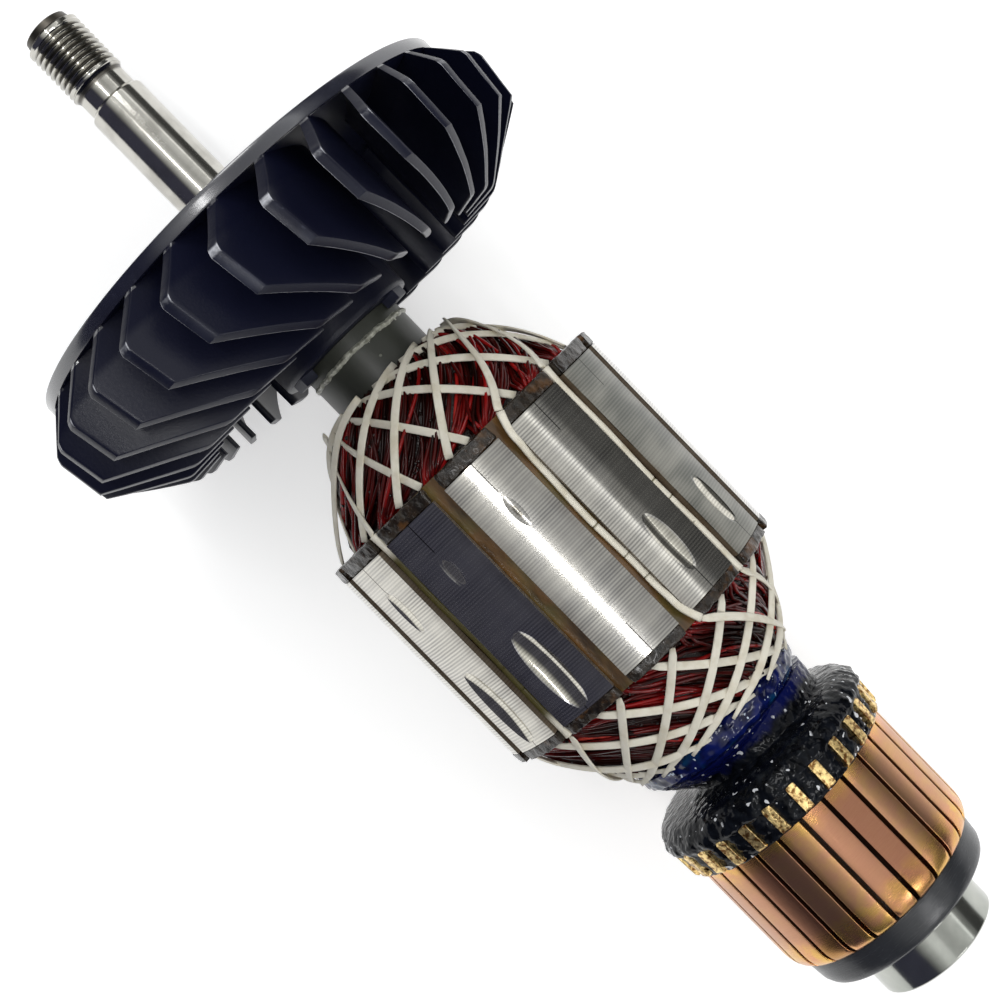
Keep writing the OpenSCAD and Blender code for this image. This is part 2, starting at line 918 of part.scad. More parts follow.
// ---------------------------------------------------------------- nodes

shaft();
fan();
fan_spacer();
varnish_bead();
shaft_sleeve_drive();
shaft_sleeve_commutator();
lamination_stack();
end_plate_drive();
end_plate_commutator();
slot_liners();
slot_windings();
slot_wedges();
winding_head_drive();
winding_head_commutator();
lacing_drive_under();
lacing_drive_over();
lacing_commutator_under();
lacing_commutator_over();
lacing_slot_runs();
neck_band();
riser_resin();
commutator_moulding();
for (i = [1:bars])
    commutator_bar(i);
bearing_inner_race();
bearing_outer_race();
bearing_balls();
bearing_cage();
bearing_shields();
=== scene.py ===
"""Looks of a wound motor armature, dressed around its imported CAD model.

The shaft lies along X, with the fan at the low end and the commutator and its bearing at the
high end. Angles turn about +X from +Z, towards -Y, as they do in the part's source. All sizes
are in metres; the constant MM turns a drawing's millimetres into them.
"""

from __future__ import annotations

import json
import logging
import math
from abc import ABC, abstractmethod
from collections.abc import Iterable, Mapping, Sequence
from dataclasses import dataclass, field
from enum import Enum
from typing import Any

import bpy
import numpy as np
from mathutils import Matrix, Vector, noise

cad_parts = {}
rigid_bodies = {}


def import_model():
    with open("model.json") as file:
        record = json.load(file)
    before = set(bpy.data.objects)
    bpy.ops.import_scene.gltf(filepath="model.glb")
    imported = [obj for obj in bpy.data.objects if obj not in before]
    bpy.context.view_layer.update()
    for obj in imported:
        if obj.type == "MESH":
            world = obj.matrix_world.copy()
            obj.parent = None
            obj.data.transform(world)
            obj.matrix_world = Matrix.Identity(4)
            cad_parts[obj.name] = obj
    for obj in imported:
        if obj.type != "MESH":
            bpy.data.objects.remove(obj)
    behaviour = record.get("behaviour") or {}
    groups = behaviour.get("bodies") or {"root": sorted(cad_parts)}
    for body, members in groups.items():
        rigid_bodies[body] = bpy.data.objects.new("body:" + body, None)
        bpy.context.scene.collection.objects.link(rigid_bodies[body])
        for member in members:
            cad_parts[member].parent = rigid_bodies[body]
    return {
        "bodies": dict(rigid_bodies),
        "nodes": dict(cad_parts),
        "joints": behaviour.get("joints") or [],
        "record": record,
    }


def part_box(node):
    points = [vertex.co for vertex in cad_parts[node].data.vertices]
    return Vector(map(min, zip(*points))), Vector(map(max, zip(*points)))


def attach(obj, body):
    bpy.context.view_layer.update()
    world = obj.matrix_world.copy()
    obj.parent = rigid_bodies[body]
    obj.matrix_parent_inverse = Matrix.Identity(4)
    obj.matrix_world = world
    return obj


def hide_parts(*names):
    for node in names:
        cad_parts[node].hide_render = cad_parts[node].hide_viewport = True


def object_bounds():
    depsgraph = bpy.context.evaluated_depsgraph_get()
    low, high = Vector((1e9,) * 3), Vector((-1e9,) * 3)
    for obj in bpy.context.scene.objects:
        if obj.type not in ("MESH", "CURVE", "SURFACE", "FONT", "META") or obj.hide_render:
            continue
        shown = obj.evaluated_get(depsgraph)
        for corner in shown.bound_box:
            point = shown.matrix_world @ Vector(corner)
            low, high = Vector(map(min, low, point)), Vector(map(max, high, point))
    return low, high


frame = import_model()
CAD_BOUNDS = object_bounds()

MM = 0.001
SLOTS = 13
BARS = 26
TRACK_R = 18.8 * MM
THREAD_CREST_R = 4.875 * MM
log = logging.getLogger("armature")

Rgb = tuple[float, float, float]
Sockets = dict[str, Any]
Array = np.ndarray


def srgb(red: float, green: float, blue: float) -> Rgb:
    """Turns a display colour into the linear one that the shaders take.

    Args:
        red: Red from 0 to 255.
        green: Green from 0 to 255.
        blue: Blue from 0 to 255.

    Returns:
        The linear red, green and blue, from 0 to 1.
    """
    def linear(level: float) -> float:
        """Undoes the display curve of one channel."""
        share = level / 255
        return share / 12.92 if share <= 0.04045 else ((share + 0.055) / 1.055) ** 2.4

    return linear(red), linear(green), linear(blue)


# ------------------------------------------------------------------ shader maths


class Value:
    """An output socket. Arithmetic on it adds the Math nodes that compute the result."""

    def __init__(self, graph: Graph, socket: bpy.types.NodeSocket) -> None:
        """Wraps a socket of a graph's node tree."""
        self.graph = graph
        self.socket = socket

    def math(self, operation: str, *others: Operand, clamp: bool = False) -> Value:
        """Adds one Math node whose first operand is this value.

        Args:
            operation: Name of the Math node's operation.
            others: The remaining operands, as values or plain numbers.
            clamp: Whether the result is held between 0 and 1.

        Returns:
            The node's result.
        """
        settings = {"operation": operation, "use_clamp": clamp}
        return self.graph.node("ShaderNodeMath", settings, dict(enumerate((self, *others))))

    def __add__(self, other: Operand) -> Value:
        """Adds."""
        return self.math("ADD", other)

    __radd__ = __add__

    def __mul__(self, other: Operand) -> Value:
        """Multiplies."""
        return self.math("MULTIPLY", other)

    __rmul__ = __mul__

    def __sub__(self, other: Operand) -> Value:
        """Subtracts other from this value."""
        return self.math("SUBTRACT", other)

    def __rsub__(self, other: float) -> Value:
        """Subtracts this value from a plain number."""
        return -self + other

    def __truediv__(self, other: Operand) -> Value:
        """Divides this value by other."""
        return self.math("DIVIDE", other)

    def __neg__(self) -> Value:
        """Changes the sign."""
        return self.math("MULTIPLY", -1.0)

    def __abs__(self) -> Value:
        """Drops the sign."""
        return self.math("ABSOLUTE")

    def clamp(self) -> Value:
        """Holds the value between 0 and 1."""
        return self.math("ADD", 0.0, clamp=True)

    def floor(self) -> Value:
        """Rounds down."""
        return self.math("FLOOR")

    def fraction(self) -> Value:
        """Keeps what lies above the whole number below."""
        return self.math("FRACT")

    def sine(self) -> Value:
        """Sine of an angle in radians."""
        return self.math("SINE")

    def larger(self, other: Operand) -> Value:
        """The larger of two values."""
        return self.math("MAXIMUM", other)

    def step(self, low: float, high: float) -> Value:
        """Rises smoothly from 0 where the value is low to 1 where it is high.

        Args:
            low: Value at which the result is 0.
            high: Value at which the result is 1. It may be under low, which turns the step.

        Returns:
            The smooth step.
        """
        settings = {"interpolation_type": "SMOOTHSTEP"}
        if low < high:
            return self.graph.node("ShaderNodeMapRange", settings, {0: self, 1: low, 2: high})
        return 1 - self.graph.node("ShaderNodeMapRange", settings, {0: self, 1: high, 2: low})

    def near(self, centre: float, half: float, soft: float) -> Value:
        """A band that is 1 within half of centre and fades over soft on both sides."""
        return abs(self - centre).step(half + soft, half)


Operand = Value | float


class Noise(Enum):
    """How rich a noise texture is in finer copies of itself."""

    SMOOTH = 1.0
    MIDDLING = 3.0
    RICH = 6.0


class Graph:
    """The node tree of a material or of the world, with the coordinates that finishes share."""

    def __init__(self, owner: bpy.types.Material | bpy.types.World, place: str = "Object") -> None:
        """Empties the owner's node tree.

        Args:
            owner: The material or world.
            place: Which coordinates its patterns follow.
        """
        self.owner = owner
        owner.use_nodes = True
        self.tree = owner.node_tree
        self.tree.nodes.clear()
        self.point = self.node("ShaderNodeTexCoord", output=place)
        self.x, self.y, self.z = (self.split(self.point, axis) for axis in "XYZ")

    def node(
        self,
        kind: str,
        settings: Mapping[str, Any] | None = None,
        inputs: Mapping[int | str, Any] | None = None,
        output: int | str = 0,
    ) -> Value:
        """Adds any node.

        Args:
            kind: The node's type.
            settings: Its properties, set first. "stops" fills a colour ramp.
            inputs: Values or plain numbers and colours for its sockets.
            output: Which of its outputs is returned.

        Returns:
            The chosen output.
        """
        made = self.tree.nodes.new(kind)
        for name, setting in (settings or {}).items():
            if name == "stops":
                self._fill_ramp(made.color_ramp, setting)
            else:
                setattr(made, name, setting)
        for key, value in (inputs or {}).items():
            if isinstance(value, Value):
                self.tree.links.new(value.socket, made.inputs[key])
            elif isinstance(value, tuple) and len(value) == 3 and made.inputs[key].type == "RGBA":
                made.inputs[key].default_value = (*value, 1.0)
            else:
                made.inputs[key].default_value = value
        return Value(self, made.outputs[output])

    @staticmethod
    def _fill_ramp(ramp: bpy.types.ColorRamp, stops: Sequence[tuple[float, Rgb]]) -> None:
        """Gives a colour ramp its stops, as pairs of position and colour."""
        while len(ramp.elements) < len(stops):
            ramp.elements.new(0.5)
        for element, (position, colour) in zip(ramp.elements, stops):
            element.position = position
            element.color = (*colour, 1.0)

    def split(self, vector: Value, axis: str) -> Value:
        """One component of a vector."""
        return self.node("ShaderNodeSeparateXYZ", None, {0: vector}, axis)

    @property
    def radius(self) -> Value:
        """Distance from the shaft's axis."""
        return (self.y * self.y + self.z * self.z).math("SQRT")

    @property
    def angle(self) -> Value:
        """Angle about the shaft's axis in radians, 0 at +Z and growing towards -Y."""
        return (-self.y).math("ARCTAN2", self.z)

    def attribute(self, name: str) -> Value:
        """A number that the mesh carries at each of its points."""
        return self.node("ShaderNodeAttribute", {"attribute_name": name}, output="Fac")

    def noise(
        self,
        size: float,
        kind: Noise = Noise.RICH,
        stretch: tuple[float, float, float] = (1.0, 1.0, 1.0),
        seed: float = 0.0,
    ) -> Value:
        """Noise from 0 to 1, about even round one half.

        Args:
            size: Size of a patch, in metres.
            kind: How rich in fine detail it is.
            stretch: How many times longer the patches are along X, Y and Z.
            seed: Shift that tells one noise from another.

        Returns:
            The noise.
        """
        scales = tuple(1 / (size * share) for share in stretch)
        scaled = self.node(
            "ShaderNodeVectorMath", {"operation": "MULTIPLY_ADD"},
            {0: self.point, 1: scales, 2: (seed, seed * 1.7, seed * 0.6)},
        )
        inputs = {"Vector": scaled, "Scale": 1.0, "Detail": kind.value, "Roughness": 0.55}
        return self.node("ShaderNodeTexNoise", {"noise_dimensions": "3D"}, inputs)

    def specks(self, size: float, share: float, seed: float = 0.0) -> Value:
        """Scattered round specks: 1 inside them and 0 elsewhere.

        Args:
            size: Distance between neighbouring cells, in metres.
            share: Radius of a speck as a share of a cell.
            seed: Shift that tells one scatter from another.

        Returns:
            The mask.
        """
        moved = self.node(
            "ShaderNodeVectorMath", {"operation": "ADD"}, {0: self.point, 1: (seed, seed, seed)}
        )
        cells = self.node("ShaderNodeTexVoronoi", None, {"Vector": moved, "Scale": 1 / size})
        return cells.step(share, share * 0.5)

    def dice(self, number: Value) -> Value:
        """A random number from 0 to 1 that depends on a whole number."""
        return self.node("ShaderNodeTexWhiteNoise", {"noise_dimensions": "1D"}, {"W": number})

    def mix(self, factor: Operand, first: Value | Rgb, second: Value | Rgb) -> Value:
        """Blends two colours, from the first where factor is 0 to the second where it is 1."""
        inputs = {0: factor, 6: first, 7: second}
        return self.node("ShaderNodeMix", {"data_type": "RGBA"}, inputs, 2)

    def ramp(self, position: Value, *stops: tuple[float, Rgb]) -> Value:
        """Colour at a position between coloured stops."""
        return self.node("ShaderNodeValToRGB", {"stops": stops}, {0: position})

    def bump(self, height: Value, depth: float) -> Value:
        """Normal of a surface whose height runs from 0 to 1 over depth metres."""
        return self.node("ShaderNodeBump", None, {"Distance": depth, "Height": height})

    def surface(self, sockets: Sockets) -> bpy.types.Material:
        """Closes the graph with a Principled shader.

        Args:
            sockets: Values, numbers and colours for the shader's sockets.

        Returns:
            The finished material.
        """
        shader = self.node("ShaderNodeBsdfPrincipled", None, sockets)
        target = self.tree.nodes.new("ShaderNodeOutputMaterial")
        self.tree.links.new(shader.socket, target.inputs["Surface"])
        return self.owner


# ------------------------------------------------------------------ finishes


class Finish(ABC):
    """A surface finish, built once and shared by the pieces that wear it."""

    slot: str = ""

    @abstractmethod
    def sockets(self, graph: Graph) -> Sockets:
        """Fills the sockets of the finish's shader."""

    def material(self) -> bpy.types.Material:
        """The finish's material, made at its first use."""
        name = type(self).__name__
        known = bpy.data.materials.get(name)
        if known:
            return known
        graph = Graph(bpy.data.materials.new(name))
        return graph.surface(self.sockets(graph))


@dataclass(frozen=True)
class GroundSteel(Finish):
    """Turned and ground shaft steel, with dirt in the thread's valleys."""

    slot: str = "shaft_steel"
    light: Rgb = srgb(205, 203, 196)
    dark: Rgb = srgb(128, 124, 116)
    dirt: Rgb = srgb(52, 46, 38)
    thread_depth: float = 0.6 * MM
    thread_end_x: float = -31 * MM

    def sockets(self, graph: Graph) -> Sockets:
        """Fills the sockets of the finish's shader."""
        turning = graph.noise(0.25 * MM, stretch=(0.12, 8.0, 8.0))
        stains = graph.noise(5 * MM, seed=3.1).step(0.42, 0.72)
        on_thread = graph.x.step(self.thread_end_x + 0.6 * MM, self.thread_end_x)
        crest_r = THREAD_CREST_R
        valley = on_thread * graph.radius.step(crest_r - 0.2 * MM, crest_r - self.thread_depth)
        bright = graph.mix(stains * 0.35 + turning * 0.25, self.light, self.dark)
        return {
            "Base Color": graph.mix(valley * 0.9, bright, self.dirt),
            "Metallic": 1.0,
            "Roughness": turning * 0.08 + stains * 0.06 + valley * 0.25 + 0.06,
            "Normal": graph.bump(turning, 0.005 * MM),
        }


@dataclass(frozen=True)
class LaminatedSteel(Finish):
    """Ground edge of a lamination stack: fine stripes, stained tooth edges, a random blue tint and
    bright hollows. One tooth carries a painted grey-blue reflection, another painted shade, and a third
    painted shade in its hollow.
    """

    slot: str = "core_steel"
    light: Rgb = srgb(214, 210, 198)
    dark: Rgb = srgb(96, 94, 88)
    # Grey-blue of a random tint and of a painted reflection on one tooth.
    slate_tint_and_reflection: Rgb = srgb(104, 111, 146)
    # Painted shade that darkens one tooth.
    tooth_shade: Rgb = srgb(70, 73, 70)
    # Painted shade in one tooth's hollow.
    hollow_shade: Rgb = srgb(64, 62, 58)
    varnish: Rgb = srgb(74, 52, 26)
    scribed: Rgb = srgb(26, 24, 22)
    stack_r: float = 27.25 * MM
    stack_x: tuple[float, float] = (51.3 * MM, 88.3 * MM)
    sheet_t: float = 0.5 * MM
    slot_open: float = 2.4 * MM
    mark_len: float = 5.6 * MM
    # The tooth that carries the painted grey-blue reflection.
    reflection_tooth: int = 1
    # The tooth darkened by painted shade.
    shaded_tooth: int = -2
    # The tooth whose hollow is darkened by painted shade.
    shaded_hollow_tooth: int = 0

    @staticmethod
    def on_tooth(tooth: Value, number: int) -> Value:
        """1 on one tooth and 0 on the others, from the position round the stack in teeth."""
        return tooth.near(number + 0.5, 0.5, 0.02)

    def sockets(self, graph: Graph) -> Sockets:
        """Fills the sockets of the finish's shader."""
        sheet = (graph.x + graph.noise(4 * MM, Noise.SMOOTH) * 0.12 * MM) / self.sheet_t
        stripe = abs(sheet.fraction() - 0.5).step(0.10, 0.42)
        tone = graph.dice(sheet.floor())
        pitch = 2 * math.pi / SLOTS
        tooth = graph.angle / pitch + 0.5
        across = (tooth.fraction() - 0.5) * pitch * self.stack_r
        edge = pitch * self.stack_r / 2 - self.slot_open / 2
        # One tooth gets a painted grey-blue reflection; the dice adds a random blue tint to the teeth.
        slate_tint_and_reflection = self.on_tooth(tooth, self.reflection_tooth)
        blued_and_reflection = graph.dice(tooth.floor() + 7.3).step(0.2, 0.9) * 0.3 + slate_tint_and_reflection * 0.45
        outside = graph.radius.step(self.stack_r - 0.12 * MM, self.stack_r - 0.09 * MM)
        hollow = (1 - outside) * abs(across).step(edge - 0.4 * MM, edge - 1.2 * MM)
        wall = (1 - outside) * (1 - hollow)
        blotch = graph.noise(3.2 * MM, stretch=(2.2, 1.0, 1.0), seed=5.0)
        stain = abs(across).step(edge - 2.2 * MM, edge) * blotch.step(0.35, 0.75)
        ends = [abs(graph.x - end).step(self.mark_len, self.mark_len - 0.3 * MM) for end in self.stack_x]
        mark = abs(across).step(0.11 * MM, 0.05 * MM) * ends[0].larger(ends[1]) * outside
        faint = graph.noise(5 * MM, Noise.SMOOTH, (1.0, 2.0, 2.0), seed=8.0).step(0.3, 0.7)
        grain = graph.mix(stripe * (faint * 0.35 + 0.2) + tone * 0.18, self.light, self.dark)
        # Painted shade darkens the grain of one whole tooth.
        painted_shade = self.on_tooth(tooth, self.shaded_tooth) * (faint * 0.15 + 0.7)
        worn = graph.mix(painted_shade, grain, self.tooth_shade)
        tinted = graph.mix(blued_and_reflection * (blotch * 0.7 + 0.25) * outside, worn, self.slate_tint_and_reflection)
        stained = graph.mix(stain * 0.3, tinted, self.varnish)
        bare = graph.mix(stripe * 0.3 + tone * 0.2, self.light, self.dark)
        # Painted shade darkens the hollow of one tooth.
        floor = graph.mix(self.on_tooth(tooth, self.shaded_hollow_tooth) * 0.85, bare, self.hollow_shade)
        ground = graph.mix(hollow, stained, floor)
        marked = graph.mix(mark * 0.9, ground, self.scribed)
        scratches = graph.noise(0.12 * MM, stretch=(0.5, 9.0, 9.0), seed=2.0)
        return {
            "Base Color": graph.mix(wall * 0.8, marked, self.varnish),
            "Metallic": 0.95 - wall * 0.6,
            "Roughness": blotch * 0.04 + scratches * 0.04 + stripe * 0.02 + wall * 0.2 + 0.08,
            "Normal": graph.bump(stripe * -0.4 + tone * 0.15, 0.007 * MM),
        }


@dataclass(frozen=True)
class FanPlastic(Finish):
    """Satin dark blue moulded plastic, greyer where its surface has wear, with painted highlight lines
    along its edges and painted highlight on the tips of blades that face up.

    The blades' slanted flanks beside the disc carry less wear and painted highlight, and the disc's rim
    is glossier.
    """

    slot: str = "fan_plastic"
    body: Rgb = srgb(17, 19, 37)
    # Grey of the wear, and of the painted highlight on the tips of blades that face up.
    wear_and_highlight: Rgb = srgb(92, 96, 112)
    # Colour of the painted highlight lines along the edges.
    bright: Rgb = srgb(228, 230, 238)
    rim_x: float = 2.6 * MM
    flank_x: float = 6.0 * MM
    rim_r: float = 40.3 * MM

    def sockets(self, graph: Graph) -> Sockets:
        """Fills the sockets of the finish's shader."""
        # The mesh carries painted highlight lines along the edges, and wear with painted highlight on
        # the tips of blades that face up.
        edge = graph.attribute("edge")
        worn = graph.attribute("worn")
        cloud = graph.noise(9 * MM, seed=1.0)
        grit = graph.noise(0.5 * MM, seed=4.0)
        speck = graph.noise(1.1 * MM, seed=9.0).step(0.60, 0.74)
        outer = graph.radius.step(self.rim_r, self.rim_r + 0.1 * MM)
        rim = graph.x.step(self.rim_x, self.rim_x - 0.2 * MM) * outer
        dust_and_highlight = worn * (cloud.step(0.4, 0.7) * 0.45 + speck * 0.55)
        flank = graph.x.step(self.flank_x + 1.5 * MM, self.flank_x)
        # Painted highlight lines along the edges, fainter on the flanks beside the disc.
        line = edge * (grit * 0.6 + 0.6) * (1 - flank * 0.7)
        body = graph.mix(dust_and_highlight * (0.85 - flank * 0.5), self.body, self.wear_and_highlight)
        return {
            "Base Color": graph.mix(line.step(0.35, 0.95) * 0.8, body, self.bright),
            "Roughness": cloud * 0.14 + dust_and_highlight * 0.16 + 0.28,
            "Specular IOR Level": 0.32 - flank * 0.22,
            "Coat Weight": rim,
            "Coat Roughness": 0.18,
            "Coat IOR": 2.0,
            "Normal": graph.bump(grit * (1 - rim) + speck * worn * 0.8, 0.03 * MM),
        }


@dataclass(frozen=True)
class InsulatingSleeve(Finish):
    """Olive grey wrapped insulation with stray drops of varnish."""

    slot: str = "insulation"
    deep: Rgb = srgb(40, 42, 36)
    body: Rgb = srgb(62, 64, 56)
    pale: Rgb = srgb(176, 178, 162)

    def sockets(self, graph: Graph) -> Sockets:
        """Fills the sockets of the finish's shader."""
        cloud = graph.noise(4 * MM)
        where = graph.noise(6 * MM, Noise.SMOOTH, seed=2.0).step(0.45, 0.6)
        drops = graph.specks(2.6 * MM, 0.12) * where
        shade = graph.mix(cloud, self.deep, self.body)
        return {
            "Base Color": graph.mix(drops, shade, self.pale),
            "Roughness": 0.36 - drops * 0.25 + cloud * 0.12,
            "Normal": graph.bump(cloud + drops * 2, 0.05 * MM),
        }


@dataclass(frozen=True)
class DriedVarnish(Finish):
    """Pale ragged varnish that ran out of a joint and set."""

    slot: str = "hard_varnish"
    deep: Rgb = srgb(96, 96, 84)
    pale: Rgb = srgb(206, 206, 192)

    def sockets(self, graph: Graph) -> Sockets:
        """Fills the sockets of the finish's shader."""
        lumps = graph.noise(0.8 * MM)
        return {
            "Base Color": graph.ramp(lumps, (0.3, self.deep), (0.7, self.pale)),
            "Roughness": 0.32,
            "Normal": graph.bump(lumps, 0.12 * MM),
        }


@dataclass(frozen=True)
class VarnishedBoard(Finish):
    """Rough brown-black end board under lumpy varnish, with glints and grey dust."""

    slot: str = "end_board"
    deep: Rgb = srgb(12, 9, 7)
    brown: Rgb = srgb(46, 36, 26)
    amber: Rgb = srgb(104, 68, 30)
    dust: Rgb = srgb(120, 112, 98)

    def sockets(self, graph: Graph) -> Sockets:
        """Fills the sockets of the finish's shader."""
        lumps = graph.noise(1.3 * MM)
        dust = graph.noise(2.6 * MM, seed=6.0).step(0.5, 0.72)
        amber = graph.noise(3.5 * MM, Noise.MIDDLING, seed=8.0).step(0.55, 0.75)
        base = graph.ramp(lumps, (0.32, self.deep), (0.7, self.brown))
        stained = graph.mix(amber * 0.6, base, self.amber)
        return {
            "Base Color": graph.mix(dust * 0.14, stained, self.dust),
            "Specular IOR Level": 0.35,
            "Roughness": dust * 0.3 + lumps * 0.2 + 0.12,
            "Coat Weight": 0.3 - dust * 0.25,
            "Coat Roughness": 0.08,
            "Normal": graph.bump(lumps + dust * 0.2, 0.35 * MM),
        }


@dataclass(frozen=True)
class SlotPaper(Finish):
    """Brown varnished slot paper."""

    slot: str = "slot_paper"
    deep: Rgb = srgb(52, 36, 18)
    brown: Rgb = srgb(128, 92, 48)
    olive: Rgb = srgb(88, 90, 46)

    def sockets(self, graph: Graph) -> Sockets:
        """Fills the sockets of the finish's shader."""
        cloud = graph.noise(2.4 * MM, stretch=(3.0, 1.0, 1.0))
        olive = graph.noise(6 * MM, Noise.SMOOTH, seed=3.0).step(0.45, 0.65)
        brown = graph.ramp(cloud, (0.3, self.deep), (0.75, self.brown))
        return {
            "Base Color": graph.mix(olive * 0.4, brown, self.olive),
            "Roughness": cloud * 0.2 + 0.16,
            "Coat Weight": 0.3,
            "Normal": graph.bump(cloud, 0.16 * MM),
        }


@dataclass(frozen=True)
class EnamelledWire(Finish):
    """Dark red enamel on copper wire, lighter on some wires than on others, partly at random and partly
    as painted highlight.
    """

    slot: str = "enamelled_wire"
    # The upper stops are reached mainly where highlight is painted.
    enamels: tuple[tuple[float, Rgb], ...] = (
        (0.0, srgb(26, 7, 5)),
        (0.4, srgb(84, 12, 11)),
        (0.75, srgb(164, 24, 24)),
        (1.0, srgb(222, 84, 70)),
    )
    baked: Rgb = srgb(16, 6, 6)

    def sockets(self, graph: Graph) -> Sockets:
        """Fills the sockets of the finish's shader."""
        tone = graph.attribute("tone")
        smear = graph.noise(2.2 * MM)
        enamel = graph.ramp(tone, *self.enamels)
        return {
            "Base Color": graph.mix(smear.step(0.5, 0.75) * 0.8, enamel, self.baked),
            "Roughness": smear * 0.15 + 0.08,
            "Specular IOR Level": 0.15,
            "Coat Weight": tone * 0.6,
            "Coat Roughness": 0.04,
            "Normal": graph.bump(smear, 0.03 * MM),
        }


@dataclass(frozen=True)
class DarkVarnish(Finish):
    """Nearly black baked varnish in the depths of the winding and in its drops."""

    slot: str = "enamelled_wire"
    deep: Rgb = srgb(10, 6, 5)
    brown: Rgb = srgb(44, 18, 12)

    def sockets(self, graph: Graph) -> Sockets:
        """Fills the sockets of the finish's shader."""
        lumps = graph.noise(0.9 * MM)
        return {
            "Base Color": graph.ramp(lumps, (0.35, self.deep), (0.75, self.brown)),
            "Roughness": 0.12,
            "Coat Weight": 0.2,
            "Coat Roughness": 0.05,
            "Normal": graph.bump(lumps, 0.4 * MM),
        }


@dataclass(frozen=True)
class FlatCord(Finish):
    """Cream woven lacing, slightly glazed and stained by the varnish."""

    slot: str = "lacing_cord"
    clean: Rgb = srgb(236, 231, 216)
    stained: Rgb = srgb(204, 194, 168)
    soaked: Rgb = srgb(84, 78, 40)
    picks: float = 2400.0
    fibres: float = 24.0

    def sockets(self, graph: Graph) -> Sockets:
        """Fills the sockets of the finish's shader."""
        along = graph.attribute("along") * self.picks
        across = graph.attribute("across")
        weave = ((along + across * 3.0).sine() * (along - across * 3.0).sine()) * 0.5 + 0.5
        fibres = (across * self.fibres + graph.noise(1.5 * MM) * 5.0).sine() * 0.5 + 0.5
        blotch = graph.noise(3.0 * MM, seed=2.0).step(0.42, 0.72)
        plain = graph.mix(blotch * 0.6 + fibres * 0.12, self.clean, self.stained)
        return {
            "Base Color": graph.mix(graph.attribute("soak"), plain, self.soaked),
            "Roughness": 0.52 - blotch * 0.15,
            "Specular IOR Level": 0.35,
            "Normal": graph.bump(weave * 0.6 + fibres * 0.6, 0.035 * MM),
        }


@dataclass(frozen=True)
class BlueBinding(Finish):
    """Glossy deep blue varnished binding, with painted glints."""

    slot: str = "blue_binding"
    deep: Rgb = srgb(5, 10, 44)
    blue: Rgb = srgb(12, 24, 88)
    teal: Rgb = srgb(10, 72, 110)
    glint: Rgb = srgb(206, 220, 236)

    def sockets(self, graph: Graph) -> Sockets:
        """Fills the sockets of the finish's shader."""
        lumps = graph.noise(1.6 * MM, Noise.SMOOTH)
        teal = graph.noise(5 * MM, Noise.SMOOTH, seed=4.0).step(0.55, 0.68)
        blue = graph.ramp(lumps, (0.3, self.deep), (0.75, self.blue))
        tinted = graph.mix(teal * 0.5, blue, self.teal)
        # Painted glints: small pale spots.
        painted_glint = graph.noise(0.9 * MM, Noise.SMOOTH, seed=23.0).step(0.69, 0.72)
        return {
            "Base Color": graph.mix(painted_glint * 0.8, tinted, self.glint),
            "Roughness": 0.1,
            "Specular IOR Level": 0.25,
            "Coat Weight": 0.25,
            "Coat Roughness": 0.04,
            "Normal": graph.bump(lumps, 0.12 * MM),
        }


@dataclass(frozen=True)
class BlackResin(Finish):
    """Glossy lumpy black resin over the blue, with a thin grey film and painted glints in places."""

    slot: str = "black_resin"
    deep: Rgb = srgb(5, 6, 9)
    black: Rgb = srgb(20, 23, 30)
    blue: Rgb = srgb(10, 17, 70)
    film: Rgb = srgb(84, 92, 98)
    glint: Rgb = srgb(226, 228, 232)
    blue_end_x: float = 111.6 * MM

    def sockets(self, graph: Graph) -> Sockets:
        """Fills the sockets of the finish's shader."""
        lumps = graph.noise(1.3 * MM, Noise.SMOOTH)
        fine = graph.noise(0.55 * MM, Noise.SMOOTH, seed=3.0)
        # Painted glints: small pale spots, in some patches only.
        painted_glint = graph.noise(1.2 * MM, Noise.SMOOTH, seed=21.0).step(0.68, 0.70)
        painted_glint = painted_glint * graph.noise(5 * MM, Noise.SMOOTH, seed=22.0).step(0.46, 0.52)
        film = graph.noise(3.6 * MM, seed=7.0).step(0.58, 0.74)
        wander = (graph.noise(3.0 * MM, seed=12.0) - 0.5) * 4 * MM
        under = (graph.x + wander).step(self.blue_end_x + 0.8 * MM, self.blue_end_x - 1.2 * MM)
        black = graph.ramp(lumps, (0.3, self.deep), (0.8, self.black))
        tinted = graph.mix(under, black, self.blue)
        filmed = graph.mix(film * (1 - under) * 0.15, tinted, self.film)
        return {
            "Base Color": graph.mix(painted_glint * 0.9, filmed, self.glint),
            "Roughness": film * 0.18 + 0.06,
            "Specular IOR Level": 0.13,
            "Normal": graph.bump(lumps * 1.5 + fine * 0.25, 0.16 * MM),
        }


